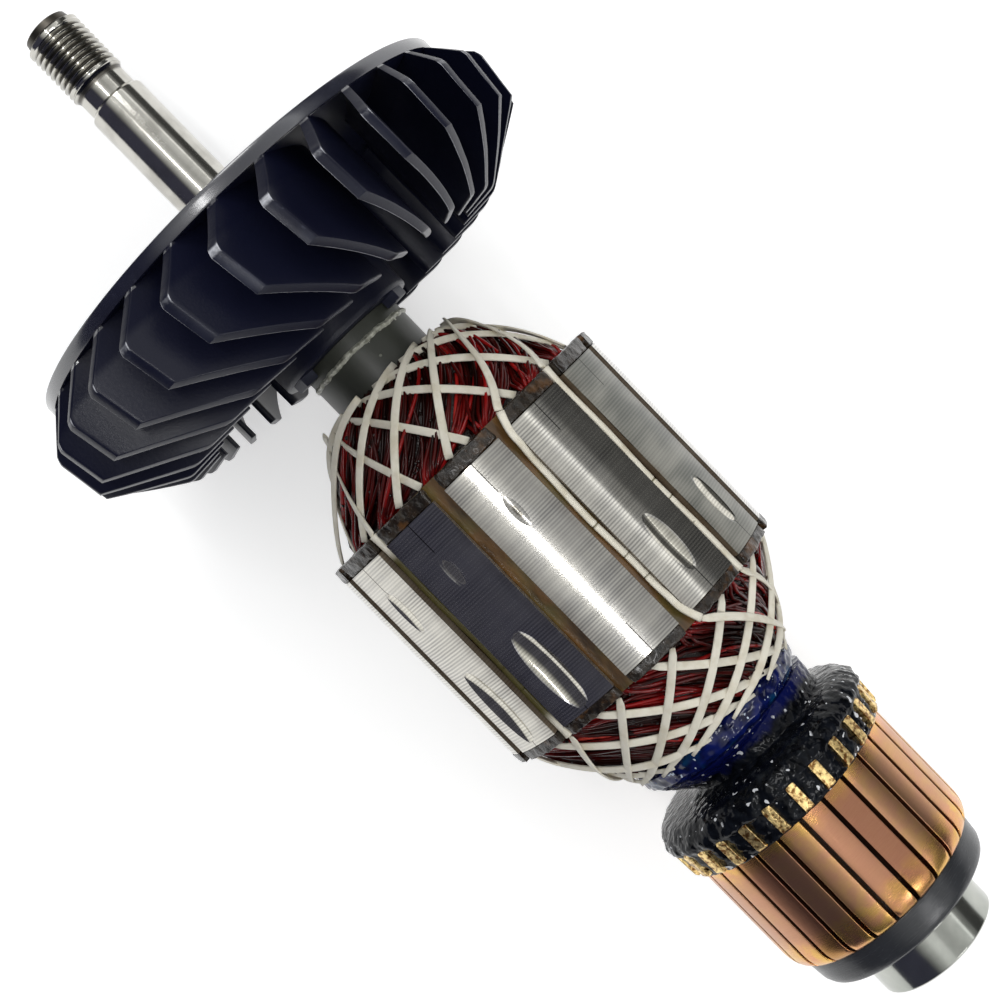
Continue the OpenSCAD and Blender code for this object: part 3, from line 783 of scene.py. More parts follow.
@dataclass(frozen=True)
class RunInCopper(Finish):
    """Commutator copper: mauve where the brushes ran, orange and yellow beside that.

    Single bars are tanned darker, and the hooks are gritty gold.
    """

    slot: str = "bar_copper"
    track: Rgb = srgb(198, 152, 124)
    heat: Rgb = srgb(240, 194, 106)
    fresh: Rgb = srgb(230, 168, 126)
    tan: Rgb = srgb(140, 88, 66)
    hook: Rgb = srgb(248, 218, 152)
    grit: Rgb = srgb(120, 80, 40)
    track_x: tuple[float, float] = (124.5 * MM, 139.5 * MM)

    def sockets(self, graph: Graph) -> Sockets:
        """Fills the sockets of the finish's shader."""
        wander = graph.noise(4 * MM) * 5 * MM
        x = graph.x + wander - 2.5 * MM
        low, high = self.track_x
        run = x.step(low - 1.5 * MM, low + 2.5 * MM) * x.step(high + 2.0 * MM, high - 2.0 * MM)
        bar = (graph.angle * BARS / (2 * math.pi) + 0.54).floor()
        tone = graph.dice(bar + 3.0)
        rings = graph.noise(0.16 * MM, stretch=(0.5, 12.0, 12.0), seed=5.0)
        heated = graph.noise(2.8 * MM, seed=9.0).step(0.35, 0.65)
        warm = graph.mix(heated, self.fresh, self.heat)
        body = graph.mix(run * (0.6 + tone * 0.4), warm, self.track)
        tanned = tone.step(0.72, 0.84) * 0.4
        streaked = graph.mix(rings * 0.3 + tone * 0.15 + tanned, body, self.tan)
        on_hook = graph.radius.step(TRACK_R + 0.1 * MM, TRACK_R + 0.3 * MM)
        gritty = graph.noise(0.7 * MM, seed=1.0)
        gold = graph.mix(gritty.step(0.36, 0.6), self.grit, self.hook)
        return {
            "Base Color": graph.mix(on_hook, streaked, gold),
            "Metallic": 1.0,
            "Roughness": rings * 0.12 + run * 0.06 + on_hook * 0.04 + 0.2,
            "Normal": graph.bump(rings * 0.4 + gritty * on_hook * 6.0, 0.03 * MM),
        }


@dataclass(frozen=True)
class RingMoulding(Finish):
    """Turned charcoal moulding."""

    slot: str = "moulding"
    deep: Rgb = srgb(30, 32, 36)
    grey: Rgb = srgb(54, 56, 60)

    def sockets(self, graph: Graph) -> Sockets:
        """Fills the sockets of the finish's shader."""
        rings = graph.noise(0.2 * MM, stretch=(0.5, 10.0, 10.0))
        cloud = graph.noise(4 * MM, seed=2.0)
        return {
            "Base Color": graph.mix(cloud * 0.7 + rings * 0.3, self.deep, self.grey),
            "Roughness": rings * 0.12 + 0.2,
            "Normal": graph.bump(rings, 0.02 * MM),
        }


@dataclass(frozen=True)
class BearingSteel(Finish):
    """Hard ground bearing steel with a faint green-grey oil film."""

    slot: str = "bearing_steel"
    filmed: Rgb = srgb(150, 154, 148)
    clean: Rgb = srgb(196, 197, 190)

    def sockets(self, graph: Graph) -> Sockets:
        """Fills the sockets of the finish's shader."""
        rings = graph.noise(0.18 * MM, stretch=(0.5, 12.0, 12.0))
        film = graph.noise(4 * MM, seed=2.0)
        return {
            "Base Color": graph.mix(film, self.filmed, self.clean),
            "Metallic": 1.0,
            "Roughness": rings * 0.06 + film * 0.08 + 0.07,
            "Normal": graph.bump(rings, 0.003 * MM),
        }


@dataclass(frozen=True)
class PressedShield(Finish):
    """Pressed sheet-steel bearing shield with a stepped circular bead."""

    slot: str = "shield_steel"
    dark: Rgb = srgb(120, 122, 122)
    light: Rgb = srgb(168, 168, 164)
    bead_r: float = 7.6 * MM

    def sockets(self, graph: Graph) -> Sockets:
        """Fills the sockets of the finish's shader."""
        bead = graph.radius.near(self.bead_r, 0.3 * MM, 0.25 * MM)
        rub = graph.noise(1.2 * MM)
        return {
            "Base Color": graph.mix(rub, self.dark, self.light),
            "Metallic": 1.0,
            "Roughness": rub * 0.15 + 0.26,
            "Normal": graph.bump(bead + rub * 0.05, 0.15 * MM),
        }


# ------------------------------------------------------------------ building meshes


def polar(x: Any, r: Any, angle: Any) -> Array:
    """Points at station x, radius r and angle in radians, as an array whose last axis is XYZ."""
    x, r, angle = np.broadcast_arrays(x, r, angle)
    return np.stack([x, -r * np.sin(angle), r * np.cos(angle)], axis=-1).astype(float)


def circle(steps: int) -> Array:
    """Angles in even steps round the shaft's axis."""
    return np.linspace(0, 2 * math.pi, steps, endpoint=False)


def relief(points: Array, size: float, seed: float, octaves: int = 3) -> Array:
    """Smooth seeded noise at each point.

    Args:
        points: Points whose last axis is XYZ.
        size: Size of a lump, in metres.
        seed: Shift that tells one noise from another.
        octaves: How many finer copies are added.

    Returns:
        Heights from about -1 to 1, in the shape of the points without their last axis.
    """
    flat = points.reshape(-1, 3) / size + seed
    heights = [noise.fractal(Vector(p), 1.0, 2.0, octaves) for p in flat]
    return np.array(heights).reshape(points.shape[:-1])


@dataclass
class Shape:
    """Points and faces under construction, with numbers that each point carries."""

    points: list[Array] = field(default_factory=list)
    faces: list[tuple[int, ...]] = field(default_factory=list)
    numbers: dict[str, list[Array]] = field(default_factory=dict)
    count: int = 0

    def add(self, points: Array, faces: Iterable[Sequence[int]], **numbers: Any) -> None:
        """Adds points and the faces between them.

        Args:
            points: New points whose last axis is XYZ.
            faces: Faces that count the new points from 0.
            numbers: For each name, one number for all the points or one for each.
        """
        flat = points.reshape(-1, 3)
        self.faces.extend(tuple(int(i) + self.count for i in face) for face in faces)
        for name, value in numbers.items():
            spread = np.broadcast_to(value, points.shape[:-1]).reshape(-1)
            self.numbers.setdefault(name, []).append(spread.astype(float))
        self.points.append(flat)
        self.count += len(flat)

    def grid(self, points: Array, wrap: bool = True, caps: bool = False, **numbers: Any) -> None:
        """Adds a net of quads over rows of points.

        Args:
            points: Points of shape (rows, columns, 3). Seen from outside, the columns run
                clockwise while the rows go up.
            wrap: Whether each row closes on itself.
            caps: Whether the first and the last row are closed with a face.
            numbers: Numbers for the points.
        """
        rows, columns = points.shape[:2]
        ids = np.arange(rows * columns).reshape(rows, columns)
        after = np.roll(ids, -1, axis=1) if wrap else ids[:, 1:]
        here = ids if wrap else ids[:, :-1]
        quads = np.stack([here[:-1], here[1:], after[1:], after[:-1]], axis=-1).reshape(-1, 4)
        faces: list[Any] = list(quads)
        if caps:
            faces += [ids[0], ids[-1][::-1]]
        self.add(points, faces, **numbers)

    def revolve(self, outline: Any, steps: int = 120, **numbers: Any) -> None:
        """Adds a turned body from an outline of pairs of station and radius."""
        outline = np.array(outline, float)
        self.grid(polar(outline[:, :1], outline[:, 1:], circle(steps)[None, :]), **numbers)

    def sweep(self, paths: Array, section: Array, scale: Any = 1.0, **numbers: Any) -> None:
        """Adds strands that share one cross-section.

        Args:
            paths: Centre lines of shape (strands, steps, 3), which never pass the axis.
            section: Corners of the cross-section as pairs of sideways and outward distance.
            scale: Size of the section at each step.
            numbers: Numbers of shape (strands, steps, corners) or less.
        """
        along = np.gradient(paths, axis=1)
        along /= np.linalg.norm(along, axis=-1, keepdims=True)
        out = paths * (0, 1, 1)
        side = np.cross(along, out)
        side /= np.linalg.norm(side, axis=-1, keepdims=True)
        up = np.cross(side, along)
        sized = np.asarray(scale, float)[..., None, None]
        rings = paths[:, :, None] + sized * (
            side[:, :, None] * section[None, None, :, :1] + up[:, :, None] * section[None, None, :, 1:]
        )
        spread = {name: np.broadcast_to(value, rings.shape[:-1]) for name, value in numbers.items()}
        for i, ring in enumerate(rings):
            self.grid(ring, caps=True, **{name: value[i] for name, value in spread.items()})

    def build(self, name: str, sharp_deg: float = 180.0) -> bpy.types.Object:
        """Turns the shape into an object.

        Args:
            name: Name of the piece.
            sharp_deg: Edges that turn by more than this stay sharp.

        Returns:
            The object, linked to the scene.
        """
        mesh = bpy.data.meshes.new(name)
        mesh.from_pydata(np.concatenate(self.points).tolist(), [], self.faces)
        for label, parts in self.numbers.items():
            layer = mesh.attributes.new(label, "FLOAT", "POINT")
            layer.data.foreach_set("value", np.concatenate(parts))
        mesh.shade_smooth()
        if sharp_deg < 180:
            mesh.set_sharp_from_angle(angle=math.radians(sharp_deg))
        made = bpy.data.objects.new(name, mesh)
        bpy.context.scene.collection.objects.link(made)
        return made


def oval(width: float, height: float, corners: int, square: float = 1.0) -> Array:
    """Cross-section from a round oval to a box with round edges.

    Args:
        width: Width of the section.
        height: Height of the section.
        corners: How many corners it has.
        square: 1 for an ellipse, and smaller for a squarer one.

    Returns:
        The corners as pairs of sideways and outward distance.
    """
    turn = circle(corners) + math.pi / corners
    c, s = np.cos(turn), np.sin(turn)
    shape = np.stack([np.sign(c) * abs(c) ** square, np.sign(s) * abs(s) ** square], axis=-1)
    return shape * (width / 2, height / 2)


# ------------------------------------------------------------------ pieces


@dataclass
class Pieces:
    """Puts finished pieces into the scene and reports them."""

    frame: dict[str, Any]
    weld_gap: float = 0.002 * MM
    bevel_above_deg: float = 35.0

    def put(self, made: bpy.types.Object, finish: Finish, node: str) -> None:
        """Gives a new piece its finish and its place on the CAD model's rotor.

        Args:
            made: The piece.
            finish: Its finish.
            node: The CAD node that it stands for.
        """
        made.data.materials.append(finish.material())
        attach(made, "rotor")
        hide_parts(node)
        log.info("%s: %d faces", made.name, len(made.data.polygons))

    def dress(self, node: str, finish: Finish, bevel: float = 0.0) -> bpy.types.Object:
        """Gives a CAD node its finish, and rounds its edges if bevel is above 0.

        Args:
            node: Name of the CAD node.
            finish: Its finish.
            bevel: Width of the rounding, in metres.

        Returns:
            The node's object.
        """
        part = self.frame["nodes"][node]
        part.data.materials.clear()
        part.data.materials.append(finish.material())
        if bevel > 0:
            weld = part.modifiers.new("weld", "WELD")
            weld.merge_threshold = self.weld_gap
            rounding = part.modifiers.new("rounding", "BEVEL")
            rounding.width = bevel
            rounding.segments = 2
            rounding.limit_method = "ANGLE"
            rounding.angle_limit = math.radians(self.bevel_above_deg)
            part.modifiers.new("normals", "WEIGHTED_NORMAL")
        log.info("%s dressed", node)
        return part


@dataclass
class Studio:
    """Camera, soft lights, white floor and the surroundings that the metals mirror."""

    target: tuple[float, float, float] = (58.74 * MM, -0.62 * MM, 0.0)
    distance: float = 268.6 * MM
    tilt_deg: float = 2.03
    roll_deg: float = 45.65
    lens_mm: float = 61.2
    light_distance: float = 0.9
    main_deg: float = 3.5
    main_along: float = -0.11
    main_size: tuple[float, float] = (0.68, 0.036)
    main_power: float = 1.6
    side_deg: float = -20.0
    side_size: tuple[float, float] = (0.35, 0.35)
    side_power: float = 2.4
    floor_half: float = 6.0
    floor_glow: float = 0.5
    floor_tones: tuple[float, float] = (0.80, 0.82)
    dark_level: float = 0.06
    bands: tuple[tuple[float, float], ...] = (
        (-180, 0.5), (-134, 0.45), (-113, 0.36), (-110, 0.14), (-100, 0.2), (-91, 0.22), (-84, 0.07),
        (-64, 0.08), (-61, 0.28), (-51, 0.32), (-50, 2.4), (-48.4, 2.4), (-47.4, 0.9), (-36, 0.8),
        (-20, 0.55), (-8, 0.6), (-3, 1.0), (8, 1.0), (14, 0.75), (22, 0.5), (31, 0.2), (36, 0.055),
        (78, 0.055), (81, 0.05), (91, 0.05), (95, 0.72), (180, 0.7),
    )

    def camera(self) -> None:
        """Sets the camera."""
        tilt, roll = math.radians(self.tilt_deg), math.radians(self.roll_deg)
        back = Vector((-math.sin(tilt), 0, math.cos(tilt)))
        level = Vector((math.cos(tilt), 0, math.sin(tilt)))
        right = level * math.cos(roll) + Vector((0, math.sin(roll), 0))
        up = Vector((0, math.cos(roll), 0)) - level * math.sin(roll)
        data = bpy.data.cameras.new("camera")
        data.sensor_width = 36
        data.lens = self.lens_mm
        data.clip_start = 0.01
        data.clip_end = 20
        made = bpy.data.objects.new("camera", data)
        bpy.context.scene.collection.objects.link(made)
        made.matrix_world = Matrix((right, up, back)).transposed().to_4x4()
        made.location = Vector(self.target) + back * self.distance
        bpy.context.scene.camera = made
        bpy.context.scene.view_settings.view_transform = "Standard"

    def light(
        self, name: str, angle_deg: float, size: tuple[float, float], power: float, along: float
    ) -> None:
        """Adds a rectangular light beside the shaft, aimed at its middle.

        Args:
            name: Name of the light.
            angle_deg: Its direction about the shaft, from +Z towards -Y.
            size: Its length along the shaft and its width.
            power: Its power in watts.
            along: How far it stands beyond the middle, along the shaft.
        """
        data = bpy.data.lights.new(name, "AREA")
        data.shape = "RECTANGLE"
        data.size, data.size_y = size
        data.energy = power
        made = bpy.data.objects.new(name, data)
        bpy.context.scene.collection.objects.link(made)
        angle = math.radians(angle_deg)
        reach = self.light_distance
        place = Vector((along, -math.sin(angle) * reach, math.cos(angle) * reach))
        back = place.normalized()
        side = Vector((0, -math.cos(angle), -math.sin(angle)))
        made.matrix_world = Matrix((side.cross(back), side, back)).transposed().to_4x4()
        made.location = Vector((self.target[0], 0, 0)) + place

    def lights(self) -> None:
        """Adds the narrow main light over the shaft and a soft one at each end of it."""
        self.light("main", self.main_deg, self.main_size, self.main_power, self.main_along)
        for name, way in (("low_end", -1), ("high_end", 1)):
            along = way * self.light_distance
            self.light(name, self.side_deg, self.side_size, self.side_power, along)

    def tint(self, level: float) -> Rgb:
        """Colour of a band of the surroundings, bluish where it is dark."""
        return level, level * 1.01, level * (1.5 if level < self.dark_level else 1.0)

    def world(self) -> None:
        """Makes the surroundings, which metals mirror as bands that run along the shaft."""
        world = bpy.data.worlds.new("surroundings")
        bpy.context.scene.world = world
        graph = Graph(world, "Generated")
        stops = tuple(((angle_deg + 180) / 360, self.tint(level)) for angle_deg, level in self.bands)
        colour = graph.ramp(graph.angle / (2 * math.pi) + 0.5, *stops)
        seen = graph.node("ShaderNodeLightPath", output="Is Camera Ray")
        shader = graph.node("ShaderNodeBackground", None, {"Color": graph.mix(seen, colour, (1, 1, 1))})
        target = graph.tree.nodes.new("ShaderNodeOutputWorld")
        graph.tree.links.new(shader.socket, target.inputs["Surface"])

    def floor(self) -> None:
        """Lays a wide floor that looks white and keeps a soft shadow."""
        half, z = self.floor_half, CAD_BOUNDS[0].z
        shape = Shape()
        corners = np.array([(-half, -half, z), (half, -half, z), (half, half, z), (-half, half, z)])
        shape.add(corners, [(0, 1, 2, 3)])
        made = shape.build("floor")
        graph = Graph(bpy.data.materials.new("floor"))
        straight, glossy, through = (
            graph.node("ShaderNodeLightPath", output=f"Is {kind} Ray")
            for kind in ("Camera", "Glossy", "Transmission")
        )
        seen = (straight + glossy + through).clamp()
        mottle = graph.noise(0.4, Noise.SMOOTH)
        dark, light = ((tone,) * 3 for tone in self.floor_tones)
        made.data.materials.append(graph.surface({
            "Base Color": graph.mix(mottle, dark, light),
            "Roughness": 1.0,
            "Specular IOR Level": 0.0,
            "Emission Color": graph.mix(seen, (0, 0, 0), (self.floor_glow,) * 3),
            "Emission Strength": 1.0,
        }))

    def build(self) -> None:
        """Builds the whole studio."""
        self.camera()
        self.lights()
        self.world()
        self.floor()


class Stations:
    """Places along the shaft and radii that several pieces share, read from the CAD model."""

    @staticmethod
    def span(node: str) -> tuple[float, float]:
        """Lowest and highest station of a CAD node."""
        low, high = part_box(node)
        return low.x, high.x

    @staticmethod
    def radius(node: str) -> float:
        """Radius of a CAD node across Z."""
        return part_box(node)[1].z


@dataclass
class Shaft:
    """Turned shaft with a rolled thread at its drive end."""

    pitch: float = 1.05 * MM
    thread_depth: float = 0.62 * MM
    core_r: float = 6.0 * MM
    seat_r: float = 5.0 * MM
    relief_r: float = 4.35 * MM
    journal_r: float = 4.0 * MM
    tip_r: float = 3.9 * MM
    thread_x: float = -31.3 * MM
    relief_x: float = -27.2 * MM
    bearing_x: float = 151.3 * MM
    centre_r: float = 1.2 * MM
    centre_depth: float = 0.9 * MM
    edge: float = 0.35 * MM

    def thread(self, low: float, high: float) -> Array:
        """Rows of points of the thread between two stations."""
        x = np.arange(low, high, self.pitch / 10)[:, None]
        angle = circle(96)[None, :]
        turn = (x / self.pitch + angle / (2 * math.pi)) % 1
        groove = np.clip(1.15 - abs(turn - 0.5) * 2.6, 0, 1)
        fade = np.clip((x - low) / (1.2 * MM), 0, 1) * np.clip((high - x) / (1.0 * MM), 0, 1)
        return polar(x, THREAD_CREST_R - self.thread_depth * groove * fade, angle)

    def build(self, pieces: Pieces) -> None:
        """Builds the shaft in place of its CAD node."""
        low, high = Stations.span("shaft")
        e = self.edge
        shape = Shape()
        start, end = low + 2.0 * MM, self.thread_x - 0.5 * MM
        shape.revolve([
            (low, 0.2 * MM), (low, self.tip_r - e), (low + e / 2, self.tip_r),
            (low + 1.3 * MM, (self.tip_r + self.relief_r) / 2), (low + 1.8 * MM, THREAD_CREST_R),
            (start, THREAD_CREST_R),
        ])
        shape.grid(self.thread(start, end))
        shape.revolve([
            (end, THREAD_CREST_R), (self.thread_x, self.relief_r),
            (self.relief_x - 2 * e, self.relief_r), (self.relief_x - 0.2 * MM, self.seat_r - e / 4),
            (self.relief_x + 0.1 * MM, self.seat_r), (0, self.seat_r), (0, self.core_r - e / 2),
            (e / 2, self.core_r), (self.bearing_x - e / 2, self.core_r),
            (self.bearing_x, self.core_r - e / 2), (self.bearing_x, self.journal_r),
            (high - e, self.journal_r), (high, self.journal_r - e),
            (high, self.centre_r), (high - self.centre_depth, 0.1 * MM),
        ])
        pieces.put(shape.build("shaft_steel_body", 30), GroundSteel(), "shaft")


@dataclass
class Fan:
    """Moulded fan: back disc, bell-shaped hub with driving lugs and swept blades."""

    blades: int = 30
    tip_r: float = 45.5 * MM
    eye_r: float = 27.0 * MM
    thickness: float = 1.3 * MM
    sweep_deg: float = 41.0
    disc_r: float = 40.8 * MM
    disc_t: float = 2.2 * MM
    blade_x: float = 23.2 * MM
    hub_x: float = 24.0 * MM
    hub_r: float = 12.6 * MM
    hub_root_r: float = 24.5 * MM
    bore_r: float = 6.0 * MM
    lugs: int = 3
    first_lug_deg: float = -62.0
    lug_h: float = 1.5 * MM
    lug_half: float = 1.5 * MM
    lug_root_r: float = 9.45 * MM
    round_r: float = 0.16 * MM
    edge: float = 0.35 * MM
    wall_points: int = 8
    tip_points: int = 6

    def envelope(self, x: Array) -> Array:
        """Radius that the blades reach at each station."""
        stations = np.array([1.1, 2.2, 7.2, 8.2, 15.6, 23.0, 23.2]) * MM
        radii = np.array([40.3, 40.8, 45.2, 45.5, 44.5, 33.2, 32.4]) * MM
        return np.interp(x, stations, radii)

    def rows(self) -> Array:
        """Stations of a blade's loops, closer together where its outline bends."""
        x = np.array([1.2, 2.2, 3.2, 4.4, 5.6, 6.6, 7.1, 7.5, 7.9, 8.3, 9.0, 9.8, 11.2, 12.6, 14.0,
                      15.0, 15.6, 16.2, 17.4, 18.6, 19.8, 21.0, 22.2, 22.8]) * MM
        b = self.round_r
        return np.concatenate([x, [self.blade_x - b, self.blade_x - 0.3 * b, self.blade_x]])

    def loops(self, x: Array) -> tuple[Array, Array]:
        """Closed loops round a blade: out along one wall, over its tip, back, and round its nose.

        Args:
            x: Stations of the loops.

        Returns:
            The radius of each point, and its place across the blade from -1 to 1, in rows.
        """
        half, b = self.thickness / 2, self.round_r
        w = b / half
        reach = self.envelope(x)[:, None]
        inner = self.eye_r + half
        share = np.concatenate([np.linspace(0, 1, self.wall_points + 1)[1:-1], [0.985]])
        wall = inner + (reach - b - inner) * share
        tip = reach - b * np.array([1, 0.3, 0, 0, 0.3, 1])
        tip_side = np.array([-1, -1 + 0.3 * w, -1 + w, 1 - w, 1 - 0.3 * w, 1]) * np.ones_like(tip)
        turn = np.radians([150, 120, 90, 60, 30])
        nose = inner - half * np.sin(turn) * np.ones_like(reach)
        nose_side = -np.cos(turn) * np.ones_like(nose)
        r = np.concatenate([wall, tip, wall[:, ::-1], nose], axis=1)
        ones = np.ones_like(wall)
        side = np.concatenate([-ones, tip_side, ones, nose_side], axis=1)
        narrow = np.ones_like(x)
        narrow[-2:] = 1 - 0.3 * w, 1 - w
        return r, side * narrow[:, None]

    def wear(self, x: Array, columns: int, wear_and_highlight: float) -> tuple[Array, Array]:
        """Painted highlight lines along a blade's edges, and wear with painted highlight on its outer
        end.

        Args:
            x: Stations of its loops.
            columns: How many points a loop has.
            wear_and_highlight: How much wear and painted highlight the blade's outer end carries, from 0
                to 1.

        Returns:
            The painted edge highlight, and the wear with painted highlight, of each point, in rows.
        """
        tip = self.wall_points
        edge, worn = np.zeros((2, len(x), columns))
        band = np.interp(x, np.array([6.6, 7.3, 9.2, 15.4, 16.0]) * MM, [0, 1, 0.8, 0.8, 0])
        worn[:, tip + 1:tip + 5] = band[:, None] * wear_and_highlight
        # Painted highlight along the tip's edges, strongest where the blade reaches farthest out.
        corner = np.interp(x, np.array([6.8, 7.4, 8.2, 8.8]) * MM, [0.1, 1, 0.9, 0])
        edge[:, tip + 1] = np.maximum(corner, 0.2)
        edge[:, tip + 2:tip + 4] = corner[:, None] * (0.4 + 0.5 * wear_and_highlight)
        edge[:, tip + 4] = np.interp(x, np.array([6.8, 7.4, 15.0, 17.0]) * MM, [0.2, 1, 0.6, 1.0])
        edge[-2:] = 0.55
        return edge, worn

    def blade(self, shape: Shape, middle: float, shake: np.random.Generator) -> None:
        """Adds one blade as rows of closed loops, from the disc to the open side.

        Args:
            shape: The shape that takes it.
            middle: Angle of its tip.
            shake: Random numbers for its small unevenness.
        """
        x = self.rows()
        r, side = self.loops(x)
        sweep = math.radians(self.sweep_deg)
        bent = middle - math.tan(sweep) * np.log(self.tip_r / r)
        angle = bent + side * (self.thickness / 2) / (r * math.cos(sweep))
        # Blades whose tips face up (+Z) get painted highlight on their tips; the others get random wear.
        upward = math.cos(middle)
        wear_and_highlight = max(upward ** 24, shake.uniform(0.1, 0.4)) if upward > 0 else 0.3
        points = polar(x[:, None], r, angle)
        points += relief(points, 6 * MM, 3.0, 2)[..., None] * 0.06 * MM
        self.close(shape, points, *self.wear(x, r.shape[1], wear_and_highlight))

    def close(self, shape: Shape, points: Array, edge: Array, worn: Array) -> None:
        """Adds a blade's walls, and its free edge as a strip of faces between both walls."""
        rows, columns = points.shape[:2]
        start = shape.count
        shape.grid(points[:, ::-1], edge=edge[:, ::-1], worn=worn[:, ::-1])
        top = start + (rows - 1) * columns
        ids = [top + columns - 1 - i for i in range(columns)]
        half = self.wall_points + self.tip_points // 2
        left, right, nose = ids[:half], ids[half:2 * half][::-1], ids[2 * half:]
        for i in range(half - 1):
            shape.faces.append((left[i], right[i], right[i + 1], left[i + 1]))
        shape.faces.append((left[0], *nose[::-1], right[0]))

    def body(self, shape: Shape) -> None:
        """Adds the disc and the bell-shaped hub."""
        e = self.edge
        steps = np.radians(np.linspace(0, 90, 20))
        bell_x = self.disc_t + (self.hub_x - 1 * MM - self.disc_t) * (1 - np.cos(steps))
        bell_r = self.hub_r + (self.hub_root_r - self.hub_r) * (1 - np.sin(steps))
        disc = [
            (0, self.bore_r), (0, self.disc_r - e), (0.12 * MM, self.disc_r - 0.3 * e), (e, self.disc_r),
            (self.disc_t - e, self.disc_r), (self.disc_t - 0.12 * MM, self.disc_r - 0.3 * e),
            (self.disc_t, self.disc_r - e), (self.disc_t, self.hub_root_r + 1.5 * MM),
        ]
        end = [
            (self.hub_x - 0.5 * MM, self.hub_r), (self.hub_x - 0.15 * MM, self.hub_r - 0.15 * MM),
            (self.hub_x, self.hub_r - 0.5 * MM), (self.hub_x, self.bore_r),
        ]
        outline = np.array(disc + list(zip(bell_x, bell_r)) + end)
        worn = (outline[:, 1] > self.disc_r - 0.5 * e)[:, None] * 0.7
        edge = np.zeros((len(outline), 1))
        # Painted highlight lines on the two rounded edges of the disc's rim.
        edge[[2, 5], 0] = 0.8
        shape.revolve(outline, 180, edge=edge, worn=worn)

    def lug(self, shape: Shape, angle: float) -> None:
        """Adds one driving lug on the hub's end."""
        low, high = self.hub_x - 1 * MM, self.hub_x + self.lug_h
        r0, r1 = self.lug_root_r, self.hub_r - 0.4 * MM
        half, c = self.lug_half, 0.25 * MM
        rows = []
        for x, inset in ((low, 0.0), (high - c, 0.0), (high - 0.3 * c, 0.3 * c), (high, c)):
            y = np.array([-half + inset, half - inset, half - inset, -half + inset])
            z = np.array([r0 + inset, r0 + inset, r1 - inset, r1 - inset])
            spun_y = y * math.cos(angle) - z * math.sin(angle)
            spun_z = y * math.sin(angle) + z * math.cos(angle)
            rows.append(np.stack([np.full(4, x), spun_y, spun_z], axis=-1))
        # Faint painted highlight lines on the lug's edges, and some wear.
        shape.grid(np.array(rows)[:, ::-1], caps=True, edge=0.2, worn=0.5)

    def build(self, pieces: Pieces) -> None:
        """Builds the fan in place of its CAD node."""
        shape = Shape()
        shake = np.random.default_rng(4)
        self.body(shape)
        for i in range(self.blades):
            self.blade(shape, (i + 0.5) * 2 * math.pi / self.blades, shake)
        for i in range(self.lugs):
            self.lug(shape, math.radians(self.first_lug_deg + i * 360 / self.lugs))
        pieces.put(shape.build("fan_moulding", 28), FanPlastic(), "fan")


@dataclass
class Insulation:
    """Sleeves and spacer on the shaft, with the ragged varnish over their joint."""

    bead_half: float = 0.8 * MM
    bead_h: float = 0.5 * MM
    drip_h: float = 0.12 * MM

    def bead(self) -> Shape:
        """Ragged ridge over the joint."""
        x0 = Stations.span("fan_spacer")[1]
        r0 = Stations.radius("shaft_sleeve_drive")
        across = np.linspace(-1, 1, 15)[:, None]
        x = x0 + across * self.bead_half
        angle = circle(240)[None, :]
        flat = polar(x, r0, angle)
        wander = relief(polar(x0, r0, angle), 3 * MM, 5.0)
        rough = relief(flat, 1.1 * MM, 1.0)
        hump = np.clip(1 - abs(across + wander * 0.35) * 1.5, 0, 1) ** 0.8
        bead = self.bead_h * hump * (0.95 + rough * 0.5)
        r = r0 - 0.1 * MM + bead + self.drip_h * np.clip(rough, 0, 1)
        shape = Shape()
        shape.grid(polar(x, r, angle))
        return shape

    def build(self, pieces: Pieces) -> None:
        """Dresses the sleeves and builds the bead."""
        for node in ("fan_spacer", "shaft_sleeve_drive", "shaft_sleeve_commutator"):
            pieces.dress(node, InsulatingSleeve(), 0.15 * MM)
        pieces.put(self.bead().build("varnish_ridge"), DriedVarnish(), "varnish_bead")


@dataclass
class Core:
    """Lamination stack with its end plates and what shows in the slots."""

    lump_h: float = 0.45 * MM
    lump_size: float = 1.4 * MM
    cell: float = 0.34 * MM

    def roughen(self, node: str, pieces: Pieces) -> None:
        """Covers an end plate with lumps of varnish."""
        part = pieces.dress(node, VarnishedBoard())
        fine = part.modifiers.new("fine", "REMESH")
        fine.mode = "VOXEL"
        fine.voxel_size = self.cell
        fine.use_smooth_shade = True
        cloud = bpy.data.textures.new(f"{node}_lumps", "CLOUDS")
        cloud.noise_scale = self.lump_size
        cloud.noise_depth = 2
        push = part.modifiers.new("lumps", "DISPLACE")
        push.texture = cloud
        push.texture_coords = "LOCAL"
        push.strength = self.lump_h
        push.mid_level = 0.55

    def build(self, pieces: Pieces) -> None:
        """Dresses the core's nodes."""
        pieces.dress("lamination_stack", LaminatedSteel())
        for node in ("end_plate_drive", "end_plate_commutator"):
            self.roughen(node, pieces)
        pieces.dress("slot_liners", SlotPaper())
        pieces.dress("slot_wedges", SlotPaper())
        pieces.dress("slot_windings", DarkVarnish())


